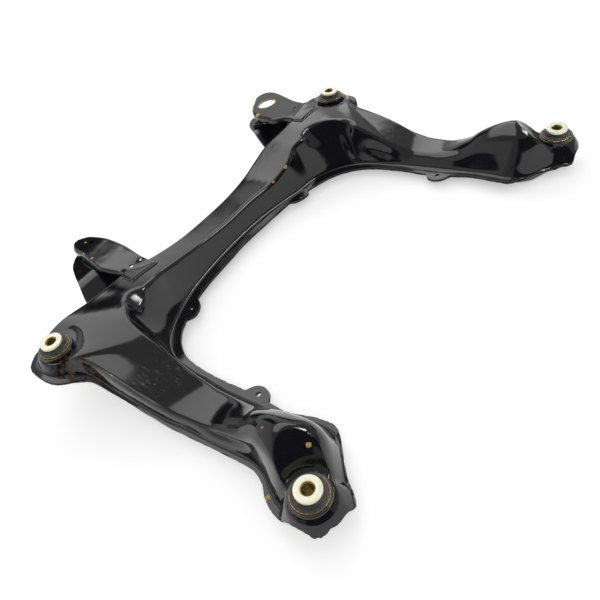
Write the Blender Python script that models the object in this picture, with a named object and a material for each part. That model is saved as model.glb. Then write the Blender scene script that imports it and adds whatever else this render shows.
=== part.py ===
"""Front subframe of a car: a welded U of two pressed steel shells on four rubber bushes.

The shells are lofts.  Each half section below lists six rail points across the pressing,
from the weld flange inside the U to the weld flange outside it, and smooth curves run
through the sections from the middle of the crossmember to the front end of an arm.
Everything is in metres with +Z up.  X runs across the car and +Y points to the rear.
"""

import math

import bmesh
import bpy
import numpy as np
from mathutils.bvhtree import BVHTree


MM = 0.001

# Pressed sheets
SHEET = 0.0030
SEAM_GAP = 0.0004
SEAM_SPREAD = 0.4
BELLY_DEPTH = 0.0165
BELLY_INSET = 0.012
FOOT_FILLET = 0.009
CREST_FILLET = 0.020
BELLY_FILLET = 0.008
# Rows of the loft from each section to the next
ROW_STEPS = (1, 1, 1, 2, 1, 2, 2, 2, 2, 3, 2, 2, 1, 1, 1, 1, 1, 1, 2, 2, 2, 2, 1, 1, 1, 1)
NORMAL_BLUR = 2
SHARP_ANGLE = math.radians(35)

# Rubber bushes: places of the disc tops, and the tilt of their axes towards the front
REAR_MOUNT = (0.4484, 0.0, 0.1341)
FRONT_MOUNT = (0.4392, -0.5571, 0.0700)
MOUNT_TILT = math.radians(6.56)
DISC_RADIUS = 0.0200
DISC_THICKNESS = 0.0050
DISC_CHAMFER = 0.0008
CORE_BORE = 0.00825
BORE_CHAMFER = 0.0022
CORE_NECK = 0.0115
SLEEVE_DROP = 0.0140
SLEEVE_RADIUS = 0.0280
SLEEVE_WALL = 0.0014
SLEEVE_LENGTH = 0.0480
CORE_PROUD = 0.0040
RUBBER_SHRINK = 0.0012
RUBBER_STEP = 0.0060
HOUSING_WALL = 0.0035
HOUSING_DROP = 0.0025
HOUSING_LIP = 0.0012
FIT_GAP = 0.0003
TURN_STEPS = 20
CUTTER_STEPS = 21

# Seats pressed into the upper shell round the housings
SEAT_RADIUS = 0.0350
SEAT_BELOW_HOUSING = 0.0050
SEAT_WALL_SLOPE = 2.2
HOLLOW_RADIUS = 0.0400
FRONT_HOLLOW_SLOPE = 1.5
REAR_HOLLOW_SLOPE = 0.8

# Lugs with a hole on the inner flange: centre of the hole, direction of the lug
LUG_REACH = 0.0190
LUG_HALF_WIDTH = 0.0240
LUG_HOLE = 0.0052
ARM_LUG_Y = -0.344
LEFT_LUG_X = -0.212
RIGHT_LUG_X = 0.177

# Horns behind the crossmember
HORN_SHEET = 0.0034
HORN_ROWS = 2
COVER_GAP = 0.0005
HORN_SKIRT = 0.0160
HORN_SKIRT_BEND = 0.0075
HORN_SKIRT_END = 0.0030
SPACER_WALL = 0.0030
LEFT_BOLT_HOLE = 0.0060
RIGHT_BOLT_HOLE = 0.0230
TAB_HOLE = 0.0045
WELD_BEAD = 0.0028
NUT_ACROSS = 0.0170
NUT_HEIGHT = 0.0080

# Drain holes in the belly of the lower shell
DRAIN_RADIUS = 0.0080
DRAINS = ((0.0, 0.030), (0.200, 0.015), (0.388, -0.250), (0.388, -0.380))

# Half sections in millimetres: flange edge, foot and crest of the inner wall, then crest,
# foot and flange edge of the outer wall.
SECTIONS = (
    # crossmember, from its middle outwards
    ((0, -38, 12), (0, -13, 13), (0, -3, 58), (0, 66, 62), (0, 74, 14), (0, 92, 12)),
    ((80, -43, 12), (80, -16, 13), (80, -6, 62), (80, 64, 66), (80, 72, 14), (80, 90, 12)),
    ((155, -48, 12), (153, -24, 13), (152, -13, 70), (152, 60, 76), (154, 69, 14), (156, 87, 12)),
    ((205, -62, 12), (202, -36, 13), (199, -20, 84), (200, 54, 90), (203, 64, 14), (206, 82, 12)),
    ((243, -79, 12), (238, -50, 13), (236, -32, 102), (242, 42, 107), (246, 54, 24), (250, 71, 22)),
    ((268, -94, 12), (264, -64, 13), (268, -45, 113), (292, 30, 120), (296, 43, 46), (300, 60, 44)),
    # corner, fanning out round the rear bush
    ((288, -112, 12), (288, -80, 13), (300, -52, 118), (345, 34, 124), (348, 47, 72), (352, 64, 70)),
    ((303, -133, 12), (307, -100, 13), (322, -62, 120), (400, 44, 126), (403, 56, 90), (408, 74, 90)),
    ((311, -150, 12), (321, -122, 13), (337, -82, 118), (440, 44, 122), (447, 54, 94), (456, 70, 94)),
    ((316, -165, 12), (329, -142, 13), (344, -106, 112), (474, 24, 118), (486, 30, 94), (498, 38, 94)),
    ((319, -180, 12), (333, -160, 13), (348, -136, 102), (476, -20, 116), (487, -26, 90), (498, -34, 90)),
    ((322, -200, 12), (336, -185, 13), (350, -170, 86), (444, -58, 108), (450, -62, 72), (458, -68, 68)),
    # arm
    ((324, -225, 11), (338, -214, 12), (352, -208, 64), (438, -120, 92), (441, -120, 42), (447, -120, 38)),
    ((325, -250, 11), (340, -242, 12), (354, -242, 47), (435, -185, 66), (438, -185, 27), (445, -185, 25)),
    ((325, -275, 10), (341, -270, 11), (355, -268, 40), (431, -238, 50), (435, -238, 17), (443, -238, 15)),
    ((324, -305, 9), (342, -302, 10), (356, -300, 36), (425, -290, 40), (431, -290, 13), (440, -290, 12)),
    ((324, -345, 9), (342, -343, 10), (357, -340, 37), (420, -340, 38), (429, -340, 12), (436, -340, 12)),
    ((328, -385, 10), (344, -385, 11), (359, -385, 48), (414, -390, 46), (424, -390, 12), (434, -392, 12)),
    ((329, -420, 12), (343, -420, 13), (363, -420, 64), (412, -422, 60), (423, -424, 12), (433, -426, 12)),
    # hump and front bush
    ((322, -455, 15), (337, -456, 16), (368, -455, 82), (418, -456, 76), (432, -455, 13), (443, -455, 13)),
    ((318, -485, 16), (334, -488, 17), (373, -490, 91), (424, -490, 80), (450, -484, 14), (466, -481, 14)),
    ((320, -506, 15), (340, -512, 17), (376, -512, 84), (430, -514, 70), (462, -508, 14), (476, -506, 14)),
    ((336, -524, 12), (356, -532, 14), (384, -534, 66), (440, -545, 50), (466, -545, 14), (480, -540, 14)),
    ((366, -550, 13), (380, -554, 14), (396, -556, 46), (444, -572, 44), (462, -572, 14), (479, -568, 14)),
    ((386, -571, 13), (395, -571, 14), (408, -571, 32), (440, -577, 32), (456, -579, 14), (468, -582, 14)),
    ((397, -585, 13), (404, -584, 13), (412, -584, 14), (438, -587, 14), (447, -588, 13), (456, -589, 14)),
    ((406, -595, 13), (411, -596, 13), (418, -597, 13), (434, -598, 13), (440, -598, 13), (446, -597, 13)),
)
FRONT_END_SECTIONS = 3

# Horn plates in millimetres: stations along each plate, with its -X edge and its +X edge
LEFT_UPPER = (
    ((-259, -3, 114), (-186, 24, 90)), ((-258, 28, 114), (-187, 42, 100)),
    ((-253, 56, 113), (-192, 54, 112)), ((-261, 103, 118), (-184, 110, 118)),
    ((-254, 150, 122), (-182, 160, 122)), ((-247, 184, 124), (-184, 186, 124)),
    ((-243, 222, 124), (-190, 222, 124)), ((-238, 236, 124), (-197, 236, 124)),
    ((-230, 247, 124), (-207, 247, 124)),
)
LEFT_LOWER = (
    ((-336, 40, 50), (-225, 40, 50)), ((-334, 76, 58), (-222, 84, 58)),
    ((-322, 112, 78), (-214, 108, 78)), ((-304, 145, 96), (-206, 140, 96)),
    ((-286, 185, 98), (-200, 180, 98)), ((-270, 215, 98), (-202, 212, 98)),
    ((-250, 236, 98), (-210, 236, 98)), ((-236, 244, 98), (-220, 244, 98)),
)
RIGHT_UPPER = (
    ((324, 1, 126), (374, -2, 126)), ((321, 24, 127.5), (394, 16, 127)),
    ((322, 50, 129), (398, 46, 129)), ((311, 82, 128), (408, 84, 128)),
    ((318, 122, 127), (426, 126, 127)), ((328, 160, 127), (444, 170, 127)),
    ((352, 190, 127), (450, 200, 127)), ((388, 212, 127), (442, 218, 127)),
    ((406, 222, 127), (428, 224, 127)),
)
RIGHT_LOWER = (
    ((266, 40, 50), (400, 40, 50)), ((264, 76, 58), (398, 84, 58)),
    ((276, 110, 78), (402, 110, 78)), ((292, 142, 96), (410, 140, 96)),
    ((310, 172, 98), (414, 164, 98)), ((326, 190, 98), (408, 184, 98)),
    ((342, 200, 98), (396, 196, 98)), ((354, 204, 98), (382, 203, 98)),
)
LEFT_BOLT = (-208, 200)
RIGHT_BOLT = (386, 164)
LEFT_TAB_HOLE = (-226, 44)
RIGHT_TAB_HOLE = (366, 52)
WELD_NUT_PLACE = (322, 160)

# Body and colours
BLACK_COAT = ((0.018, 0.019, 0.021), 0.22, 0.0)
RUBBER = ((0.012, 0.012, 0.013), 0.65, 0.0)
GOLD_PLATE = ((0.55, 0.42, 0.16), 0.35, 0.9)
PALE_CORE = ((0.80, 0.80, 0.68), 0.40, 0.3)
WELD_STEEL = ((0.030, 0.030, 0.032), 0.50, 0.2)


def material(name, look):
    """A Principled material of one plain look."""
    colour, roughness, metallic = look
    made = bpy.data.materials.new(name)
    made.use_nodes = True
    shader = made.node_tree.nodes["Principled BSDF"]
    shader.inputs["Base Color"].default_value = (*colour, 1.0)
    shader.inputs["Roughness"].default_value = roughness
    shader.inputs["Metallic"].default_value = metallic
    return made


def add_object(name, vertices, faces, look, triangles=False):
    """A smooth-shaded mesh object with its own material."""
    mesh = bpy.data.meshes.new(name)
    mesh.from_pydata([tuple(vertex) for vertex in vertices], [], faces)
    cleaner = bmesh.new()
    cleaner.from_mesh(mesh)
    bmesh.ops.recalc_face_normals(cleaner, faces=cleaner.faces)
    if triangles:
        bmesh.ops.triangulate(cleaner, faces=cleaner.faces)
    cleaner.to_mesh(mesh)
    cleaner.free()
    mesh.shade_smooth()
    mesh.set_sharp_from_angle(angle=SHARP_ANGLE)
    mesh.materials.append(material(name, look))
    made = bpy.data.objects.new(name, mesh)
    bpy.context.collection.objects.link(made)
    return made


def as_cutter(made):
    """Keep an object out of the model, for use by a Boolean only."""
    made.hide_render = True
    made.display_type = "WIRE"
    return made


def cut(target, cutter):
    """Subtract a cutter from a piece."""
    boolean = target.modifiers.new("cut_" + cutter.name, "BOOLEAN")
    boolean.operation = "DIFFERENCE"
    boolean.solver = "EXACT"
    boolean.object = cutter


def smooth_through(points, u):
    """Catmull-Rom curve through points (n, ...) at the parameters u from 0 to n - 1."""
    last = len(points) - 1
    i = np.clip(np.floor(u).astype(int), 0, last - 1)
    f = (u - i).reshape((-1,) + (1,) * (points.ndim - 1))
    p0 = points[np.maximum(i - 1, 0)]
    p1 = points[i]
    p2 = points[i + 1]
    p3 = points[np.minimum(i + 2, last)]
    cubic = 3 * (p1 - p2) + p3 - p0
    square = 2 * p0 - 5 * p1 + 4 * p2 - p3
    return p1 + 0.5 * f * (p2 - p0 + f * (square + f * cubic))


def unit(vectors):
    """Vectors of length one along the last axis."""
    return vectors / np.linalg.norm(vectors, axis=-1, keepdims=True)


def row_parameters():
    """Where the rows of the right half lie, counted in sections from the middle."""
    runs = [start + np.arange(steps) / steps for start, steps in enumerate(ROW_STEPS)]
    return np.append(np.concatenate(runs), len(ROW_STEPS))


def full_rails():
    """Rails (rows, 6, 3) from the left arm's front end round to the right arm's."""
    half = np.array(SECTIONS, dtype=float) * MM
    mirrored = half[:0:-1] * (-1, 1, 1)
    whole = np.concatenate([mirrored, half])
    rows = row_parameters()
    middle = len(half) - 1
    return smooth_through(whole, np.concatenate([middle - rows[:0:-1], middle + rows]))


def lug_bump(distance):
    """Outline of a lug: 1 over its round middle, flared down to 0 at twice the half width."""
    share = np.clip(np.abs(distance) / LUG_HALF_WIDTH, 0, 1.45)
    round_top = np.sqrt(np.clip(1 - (share / 1.05) ** 2, 0, 1))
    flare = 0.22 * np.clip(1.45 - share, 0, 1) ** 2
    return np.maximum(round_top, flare)


def add_lugs(rails):
    """Push the inner flange edge out into its four lugs."""
    edge = rails[:, 0]
    on_arm = edge[:, 1] < -0.20
    behind = ~on_arm
    side = np.sign(edge[:, 0])
    arm_bump = lug_bump(edge[:, 1] - ARM_LUG_Y) * on_arm
    edge[:, 0] -= side * LUG_REACH * arm_bump
    for lug_x in (LEFT_LUG_X, RIGHT_LUG_X):
        bump = lug_bump(edge[:, 0] - lug_x) * behind * (np.sign(lug_x) == side)
        edge[:, 1] -= LUG_REACH * bump
    return rails


def filleted(rails, fillets, straight, arcs):
    """Rows of section points: straight runs between rails, a rounding at each inner rail."""
    columns = [rails[:, 0]]
    start = rails[:, 0]
    for k, fillet in enumerate(fillets, start=1):
        corner = rails[:, k]
        back = corner - rails[:, k - 1]
        ahead = rails[:, k + 1] - corner
        back_length = np.linalg.norm(back, axis=1, keepdims=True)
        ahead_length = np.linalg.norm(ahead, axis=1, keepdims=True)
        enter = corner - back / back_length * np.minimum(fillet, 0.47 * back_length)
        leave = corner + ahead / ahead_length * np.minimum(fillet, 0.47 * ahead_length)
        for step in np.arange(1, straight[k - 1] + 1) / straight[k - 1]:
            columns.append(start + (enter - start) * step)
        for w in np.arange(1, arcs[k - 1] + 1) / arcs[k - 1]:
            columns.append(enter * (1 - w) ** 2 + corner * 2 * w * (1 - w) + leave * w ** 2)
        start = leave
    for step in np.arange(1, straight[-1] + 1) / straight[-1]:
        columns.append(start + (rails[:, -1] - start) * step)
    return np.stack(columns, axis=1)


def axis_direction():
    """Up along a bush: the axes lean towards the front."""
    return np.array((0.0, -math.sin(MOUNT_TILT), math.cos(MOUNT_TILT)))


def seat_shape(points, mount, hollow_slope):
    """Press a bush seat: a hollow with sloping sides round it and a raised round seat."""
    axis = axis_direction()
    lip = np.array(mount) - axis * (SLEEVE_DROP + HOUSING_DROP + SEAT_BELOW_HOUSING)
    for side in (-1, 1):
        centre = lip * (side, 1, 1)
        level = centre[2] + (points[..., 1] - centre[1]) * math.tan(MOUNT_TILT)
        away = np.hypot(points[..., 0] - centre[0], points[..., 1] - centre[1])
        roof = level + hollow_slope * np.maximum(away - HOLLOW_RADIUS, 0)
        floor = level - SEAT_WALL_SLOPE * np.maximum(away - SEAT_RADIUS, 0)
        near = away < HOLLOW_RADIUS * 3
        pressed = np.maximum(np.minimum(points[..., 2], roof), floor)
        points[..., 2] = np.where(near, pressed, points[..., 2])
    return points


def upper_surface(straight, arcs):
    """Outside of the upper shell as a grid of points (rows, columns, 3)."""
    rails = add_lugs(full_rails())
    fillets = (FOOT_FILLET, CREST_FILLET, CREST_FILLET, FOOT_FILLET)
    grid = filleted(rails, fillets, straight, arcs)
    grid = seat_shape(grid, REAR_MOUNT, REAR_HOLLOW_SLOPE)
    return seat_shape(grid, FRONT_MOUNT, FRONT_HOLLOW_SLOPE)


def lower_surface(straight, arcs):
    """Inside of the lower shell: the same flange, then down to a belly."""
    rails = add_lugs(full_rails())
    along = np.gradient(rails, axis=0)
    steepness = np.abs(along[..., 2]) / np.hypot(along[..., 0], along[..., 1])
    steepness[:, 1:4] = 0
    steepness[:, 4] = steepness[:, 5]
    rails[..., 2] -= (SHEET + SEAM_GAP) * (1 + steepness ** 2 / 2 + SEAM_SPREAD * steepness)
    across = rails[:, 4] - rails[:, 1]
    across[:, 2] = 0
    width = np.linalg.norm(across, axis=1, keepdims=True)
    inset = across / width * np.minimum(BELLY_INSET, 0.3 * width)
    to_end = len(ROW_STEPS) - row_parameters()
    from_end = np.concatenate([to_end[:0:-1], to_end])
    depth = BELLY_DEPTH * np.clip((from_end - 1) / FRONT_END_SECTIONS, 0, 1)
    lowered = np.stack([rails[:, 0], rails[:, 1], rails[:, 1] + inset,
                        rails[:, 4] - inset, rails[:, 4], rails[:, 5]], axis=1)
    lowered[:, 2:4, 2] -= depth[:, None]
    fillets = (BELLY_FILLET,) * 4
    return filleted(lowered, fillets, straight, arcs)


def grid_normals(grid):
    """Upward unit normals of a grid of points."""
    along = np.gradient(grid, axis=0)
    across = np.gradient(grid, axis=1)
    normals = unit(np.cross(along, across))
    for _ in range(NORMAL_BLUR):
        padded = np.pad(normals, ((1, 1), (1, 1), (0, 0)), mode="edge")
        normals = unit(padded[:-2, 1:-1] + padded[2:, 1:-1] + padded[1:-1, :-2] + padded[1:-1, 2:] + 2 * normals)
    return normals * np.sign(normals[..., 2].mean())


def grid_quads(rows, columns):
    """Quads of a grid whose points are numbered row by row."""
    index = np.arange(rows * columns).reshape(rows, columns)
    quads = np.stack([index[:-1, :-1], index[1:, :-1], index[1:, 1:], index[:-1, 1:]], axis=-1)
    return quads.reshape(-1, 4)


def closed_faces(quads, count):
    """Quads of the closed body between a top sheet and its bottom, numbered count later."""
    edges = np.concatenate([quads[:, [k, (k + 1) % 4]] for k in range(4)])
    key = edges[:, 0] * count + edges[:, 1]
    back = edges[:, 1] * count + edges[:, 0]
    rim = edges[~np.isin(key, back)]
    walls = np.stack([rim[:, 1], rim[:, 0], rim[:, 0] + count, rim[:, 1] + count], axis=1)
    return np.concatenate([quads, quads[:, ::-1] + count, walls])


def sheet_object(name, grid, thickness, look):
    """A pressed sheet in triangles: the grid is its top, thickness measured square to it."""
    top = grid.reshape(-1, 3)
    bottom = top - grid_normals(grid).reshape(-1, 3) * thickness
    quads = closed_faces(grid_quads(*grid.shape[:2]), len(top))
    return add_object(name, np.concatenate([top, bottom]), quads.tolist(), look, triangles=True)


def turned(name, profile, look, place, steps=TURN_STEPS):
    """A body turned about a bush axis from a closed profile of (radius, height) points."""
    angles = np.arange(steps) * 2 * math.pi / steps
    ring = np.stack([np.cos(angles), np.sin(angles)], axis=1)
    outline = np.array(profile)
    points = np.empty((len(outline), steps, 3))
    points[..., :2] = outline[:, None, :1] * ring
    points[..., 2] = outline[:, 1:]
    index = np.arange(len(outline) * steps).reshape(len(outline), steps)
    below = np.roll(index, -1, axis=0)
    faces = np.stack([index, np.roll(index, -1, axis=1), np.roll(below, -1, axis=1), below], axis=-1)
    made = add_object(name, points.reshape(-1, 3), faces.reshape(-1, 4).tolist(), look)
    made.location = place
    made.rotation_euler = (MOUNT_TILT, 0, 0)
    return made


def bore_cutter(name, radius, place, half_length, tilt=0.0, steps=TURN_STEPS):
    """A solid cylinder for cutting a round hole, its flats at the stated radius."""
    mesh = bpy.data.meshes.new(name)
    builder = bmesh.new()
    corner = radius / math.cos(math.pi / steps)
    bmesh.ops.create_cone(builder, cap_ends=True, segments=steps, radius1=corner, radius2=corner,
                          depth=2 * half_length)
    builder.to_mesh(mesh)
    builder.free()
    made = bpy.data.objects.new(name, mesh)
    made.location = place
    made.rotation_euler = (tilt, 0, 0)
    bpy.context.collection.objects.link(made)
    return as_cutter(made)


def bush(place, suffix):
    """Core, rubber, outer sleeve and housing of one bush; returns the cutter of its bore."""
    bottom = -SLEEVE_DROP - SLEEVE_LENGTH
    core_bottom = bottom - CORE_PROUD
    neck_top = -DISC_THICKNESS
    turned("core_" + suffix,
           ((CORE_BORE, core_bottom), (CORE_NECK, core_bottom), (CORE_NECK, neck_top),
            (DISC_RADIUS, neck_top), (DISC_RADIUS, -DISC_CHAMFER), (DISC_RADIUS - DISC_CHAMFER, 0.0),
            (CORE_BORE + BORE_CHAMFER, 0.0), (CORE_BORE, -BORE_CHAMFER)),
           PALE_CORE, place)
    sleeve_inside = SLEEVE_RADIUS - SLEEVE_WALL
    rubber_outside = sleeve_inside - FIT_GAP
    rubber_inside = CORE_NECK + FIT_GAP
    cap = neck_top - FIT_GAP
    rubber_bottom = bottom + RUBBER_SHRINK
    turned("rubber_" + suffix,
           ((rubber_inside, rubber_bottom), (rubber_outside, rubber_bottom),
            (rubber_outside, -SLEEVE_DROP - RUBBER_SHRINK), (rubber_outside - RUBBER_SHRINK, -SLEEVE_DROP),
            (rubber_outside - RUBBER_STEP / 2, -SLEEVE_DROP + RUBBER_STEP / 3),
            (DISC_RADIUS + RUBBER_SHRINK, -SLEEVE_DROP + RUBBER_STEP / 3),
            (DISC_RADIUS, cap - RUBBER_SHRINK), (DISC_RADIUS - RUBBER_SHRINK, cap), (rubber_inside, cap)),
           RUBBER, place)
    turned("sleeve_" + suffix,
           ((sleeve_inside, bottom), (SLEEVE_RADIUS, bottom), (SLEEVE_RADIUS, -SLEEVE_DROP),
            (sleeve_inside, -SLEEVE_DROP)),
           GOLD_PLATE, place)
    housing_inside = SLEEVE_RADIUS + FIT_GAP
    housing_outside = housing_inside + HOUSING_WALL
    housing_top = -SLEEVE_DROP - HOUSING_DROP
    turned("housing_" + suffix,
           ((housing_inside, bottom), (housing_outside, bottom), (housing_outside, housing_top - HOUSING_LIP),
            (housing_outside - HOUSING_LIP, housing_top), (housing_inside, housing_top)),
           BLACK_COAT, place)
    middle = np.array(place) - axis_direction() * (SLEEVE_DROP + SLEEVE_LENGTH / 2)
    return bore_cutter("bore_" + suffix, housing_outside + FIT_GAP, middle, SLEEVE_LENGTH,
                       tilt=MOUNT_TILT, steps=CUTTER_STEPS)


def ribbon(stations, skirt):
    """Grid of a horn plate's top: rows along it, columns across, with turned-down sides."""
    table = np.array(stations, dtype=float) * MM
    rows = smooth_through(table, np.linspace(0, len(table) - 1, HORN_ROWS * (len(table) - 1) + 1))
    left = rows[:, 0]
    right = rows[:, 1]
    across = unit(right - left)
    down = np.array((0.0, 0.0, -1.0))
    if not skirt:
        columns = [left + (right - left) * w for w in np.linspace(0, 1, 5)]
        return np.stack(columns, axis=1)
    station = np.arange(len(rows)) / HORN_ROWS
    run = np.clip(station / 2 - 1, 0, 1) * np.clip(len(table) - 1 - station, 0, 1)
    bend = HORN_SKIRT_BEND
    drop = (bend + np.maximum(HORN_SKIRT_END, (skirt - bend) * run))[:, None]
    columns = [left + down * drop]
    for angle in np.radians((0, 45, 90)):
        columns.append(left + across * bend * (1 - math.cos(angle)) + down * bend * (1 - math.sin(angle)))
    inner_left = left + across * bend
    inner_right = right - across * bend
    columns += [inner_left + (inner_right - inner_left) * w for w in (0.25, 0.5, 0.75)]
    for angle in np.radians((90, 45, 0)):
        columns.append(right - across * bend * (1 - math.cos(angle)) + down * bend * (1 - math.sin(angle)))
    columns.append(right + down * drop)
    return np.stack(columns, axis=1)


def hex_prism(name, across, bore, height, look, place):
    """A hexagon nut with a bore, standing on its place."""
    corner = across / math.sqrt(3)
    angles = np.arange(6) * math.pi / 3
    ring = np.stack([np.cos(angles), np.sin(angles)], axis=1)
    levels = ((corner, 0.0), (corner, height), (bore, height), (bore, 0.0))
    points = np.array([(*(ring[i] * radius), z) for radius, z in levels for i in range(6)])
    index = np.arange(24).reshape(4, 6)
    below = np.roll(index, -1, axis=0)
    faces = np.stack([index, np.roll(index, -1, axis=1), np.roll(below, -1, axis=1), below], axis=-1)
    made = add_object(name, points, faces.reshape(-1, 4).tolist(), look)
    made.location = place
    return made


def cover_cutter(grid):
    """Everything under the outside of the upper shell, grown by the fitting gap."""
    top = (grid + grid_normals(grid) * COVER_GAP).reshape(-1, 3)
    bottom = top * (1, 1, 0) - (0, 0, SEAT_RADIUS)
    faces = closed_faces(grid_quads(*grid.shape[:2]), len(top))
    points = np.concatenate([top, bottom])
    return as_cutter(add_object("cover_cutter", points, faces.tolist(), BLACK_COAT, triangles=True))


def height_finder(grid):
    """A function giving the height of the grid's surface over a point in plan."""
    tree = BVHTree.FromPolygons(grid.reshape(-1, 3).tolist(), grid_quads(*grid.shape[:2]).tolist())

    def height_at(x, y):
        return tree.ray_cast((x, y, 1.0), (0.0, 0.0, -1.0))[0].z

    return height_at


def offset_path(points, distance):
    """A plan path moved sideways to its left by a distance."""
    points = np.array(points, dtype=float)
    runs = unit(np.diff(points, axis=0))
    sideways = np.stack([-runs[:, 1], runs[:, 0]], axis=1)
    at_start = np.vstack([sideways[:1], sideways])
    at_end = np.vstack([sideways, sideways[-1:]])
    mitre = unit(at_start + at_end)
    reach = distance / (mitre * at_end).sum(axis=1, keepdims=True)
    return points + mitre * reach


def resampled(points, spacing):
    """Evenly spaced points along a path, corners kept close."""
    lengths = np.concatenate([[0], np.cumsum(np.linalg.norm(np.diff(points, axis=0), axis=1))])
    count = max(int(lengths[-1] / spacing), 2)
    at = np.linspace(0, lengths[-1], count + 1)
    return np.stack([np.interp(at, lengths, points[:, axis]) for axis in range(points.shape[1])], axis=1)


def weld_bead(name, stations, height_at):
    """Fillet weld round the front tab of a horn's upper plate."""
    (left, right), (left_next, right_next) = stations[:2]
    edge = np.array((left_next[:2], left[:2], right[:2], right_next[:2]), dtype=float) * MM
    path = resampled(offset_path(edge, -(WELD_BEAD + FIT_GAP)), 2 * WELD_BEAD)
    centres = np.array([(x, y, height_at(x, y)) for x, y in path])
    along = unit(np.gradient(centres, axis=0))
    side = unit(np.cross(along, (0.0, 0.0, 1.0)))
    up = np.cross(side, along)
    turn = np.arange(8) * math.pi / 4
    ring = (np.cos(turn)[:, None, None] * side + np.sin(turn)[:, None, None] * up) * WELD_BEAD
    points = (centres + ring).transpose(1, 0, 2)
    index = np.arange(points.shape[0] * 8).reshape(-1, 8)
    after = np.roll(index, -1, axis=1)
    faces = np.stack([index[:-1], index[1:], after[1:], after[:-1]], axis=-1).reshape(-1, 4).tolist()
    faces += [index[0].tolist(), index[-1, ::-1].tolist()]
    return add_object(name, points.reshape(-1, 3), faces, WELD_STEEL)


def build_shells(bores):
    """Upper and lower shells with their bush openings, lug holes and drains; returns the grid."""
    grid = upper_surface((1, 1, 4, 1, 1), (1, 3, 3, 1))
    upper = sheet_object("upper_shell", grid, SHEET, BLACK_COAT)
    lower = sheet_object("lower_shell", lower_surface((1, 1, 2, 1, 1), (1, 1, 1, 1)), SHEET, BLACK_COAT)
    flange_level = SECTIONS[0][0][2] * MM
    arm_x = SECTIONS[16][0][0] * MM
    cross_y = (SECTIONS[3][0][1] + SECTIONS[2][0][1]) / 2 * MM
    lug_places = [(side * (arm_x - LUG_HOLE / 2), ARM_LUG_Y) for side in (-1, 1)]
    lug_places += [(lug_x, cross_y - 2 * LUG_HOLE) for lug_x in (LEFT_LUG_X, RIGHT_LUG_X)]
    lug_holes = [bore_cutter(f"lug_hole_{i}", LUG_HOLE, (x, y, flange_level), HOUSING_WALL * 4, steps=12)
                 for i, (x, y) in enumerate(lug_places)]
    for cutter in bores + lug_holes:
        cut(upper, cutter)
        cut(lower, cutter)
    drains = [(side * x, y) for x, y in DRAINS for side in ((-1, 1) if x else (1,))]
    for i, (x, y) in enumerate(drains):
        cut(lower, bore_cutter(f"drain_{i}", DRAIN_RADIUS, (x, y, 0.0), SHEET * 4, steps=12))
    return grid


def build_horn(side_name, upper_stations, lower_stations, bolt, bolt_radius, tab_hole, cover, height_at):
    """One horn: upper plate with turned-down sides, lower plate and weld bead."""
    upper = sheet_object("horn_upper_" + side_name, ribbon(upper_stations, HORN_SKIRT), HORN_SHEET, BLACK_COAT)
    lower = sheet_object("horn_lower_" + side_name, ribbon(lower_stations, 0.0), HORN_SHEET, BLACK_COAT)
    bead = weld_bead("weld_" + side_name, upper_stations, height_at)
    top = upper_stations[-1][0][2] * MM
    bolt_place = (bolt[0] * MM, bolt[1] * MM, top)
    bolt_cutter = bore_cutter("bolt_" + side_name, bolt_radius, bolt_place, SLEEVE_LENGTH)
    tab_place = (tab_hole[0] * MM, tab_hole[1] * MM, top)
    tab_cutter = bore_cutter("tab_hole_" + side_name, TAB_HOLE, tab_place, SLEEVE_LENGTH, steps=12)
    for plate in (upper, lower, bead):
        cut(plate, cover)
    cut(upper, bolt_cutter)
    cut(upper, tab_cutter)
    return lower, bolt_cutter


def rest_on_origin():
    """Parent the pieces to one empty and set the object on the floor, centred in plan."""
    bpy.context.view_layer.update()
    shown = [made for made in bpy.context.scene.objects if made.type == "MESH"]
    graph = bpy.context.evaluated_depsgraph_get()
    solids = [made for made in shown if not made.hide_render]
    corners = []
    for made in solids:
        evaluated = made.evaluated_get(graph)
        points = np.empty(len(evaluated.data.vertices) * 3)
        evaluated.data.vertices.foreach_get("co", points)
        turn = np.array(made.matrix_world)
        world = points.reshape(-1, 3) @ turn[:3, :3].T + turn[:3, 3]
        corners.append((world.min(axis=0), world.max(axis=0)))
    low = np.min([pair[0] for pair in corners], axis=0)
    high = np.max([pair[1] for pair in corners], axis=0)
    root = bpy.data.objects.new("subframe", None)
    bpy.context.collection.objects.link(root)
    root.location = (-(low[0] + high[0]) / 2, -(low[1] + high[1]) / 2, -low[2])
    for made in shown:
        made.parent = root


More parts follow.
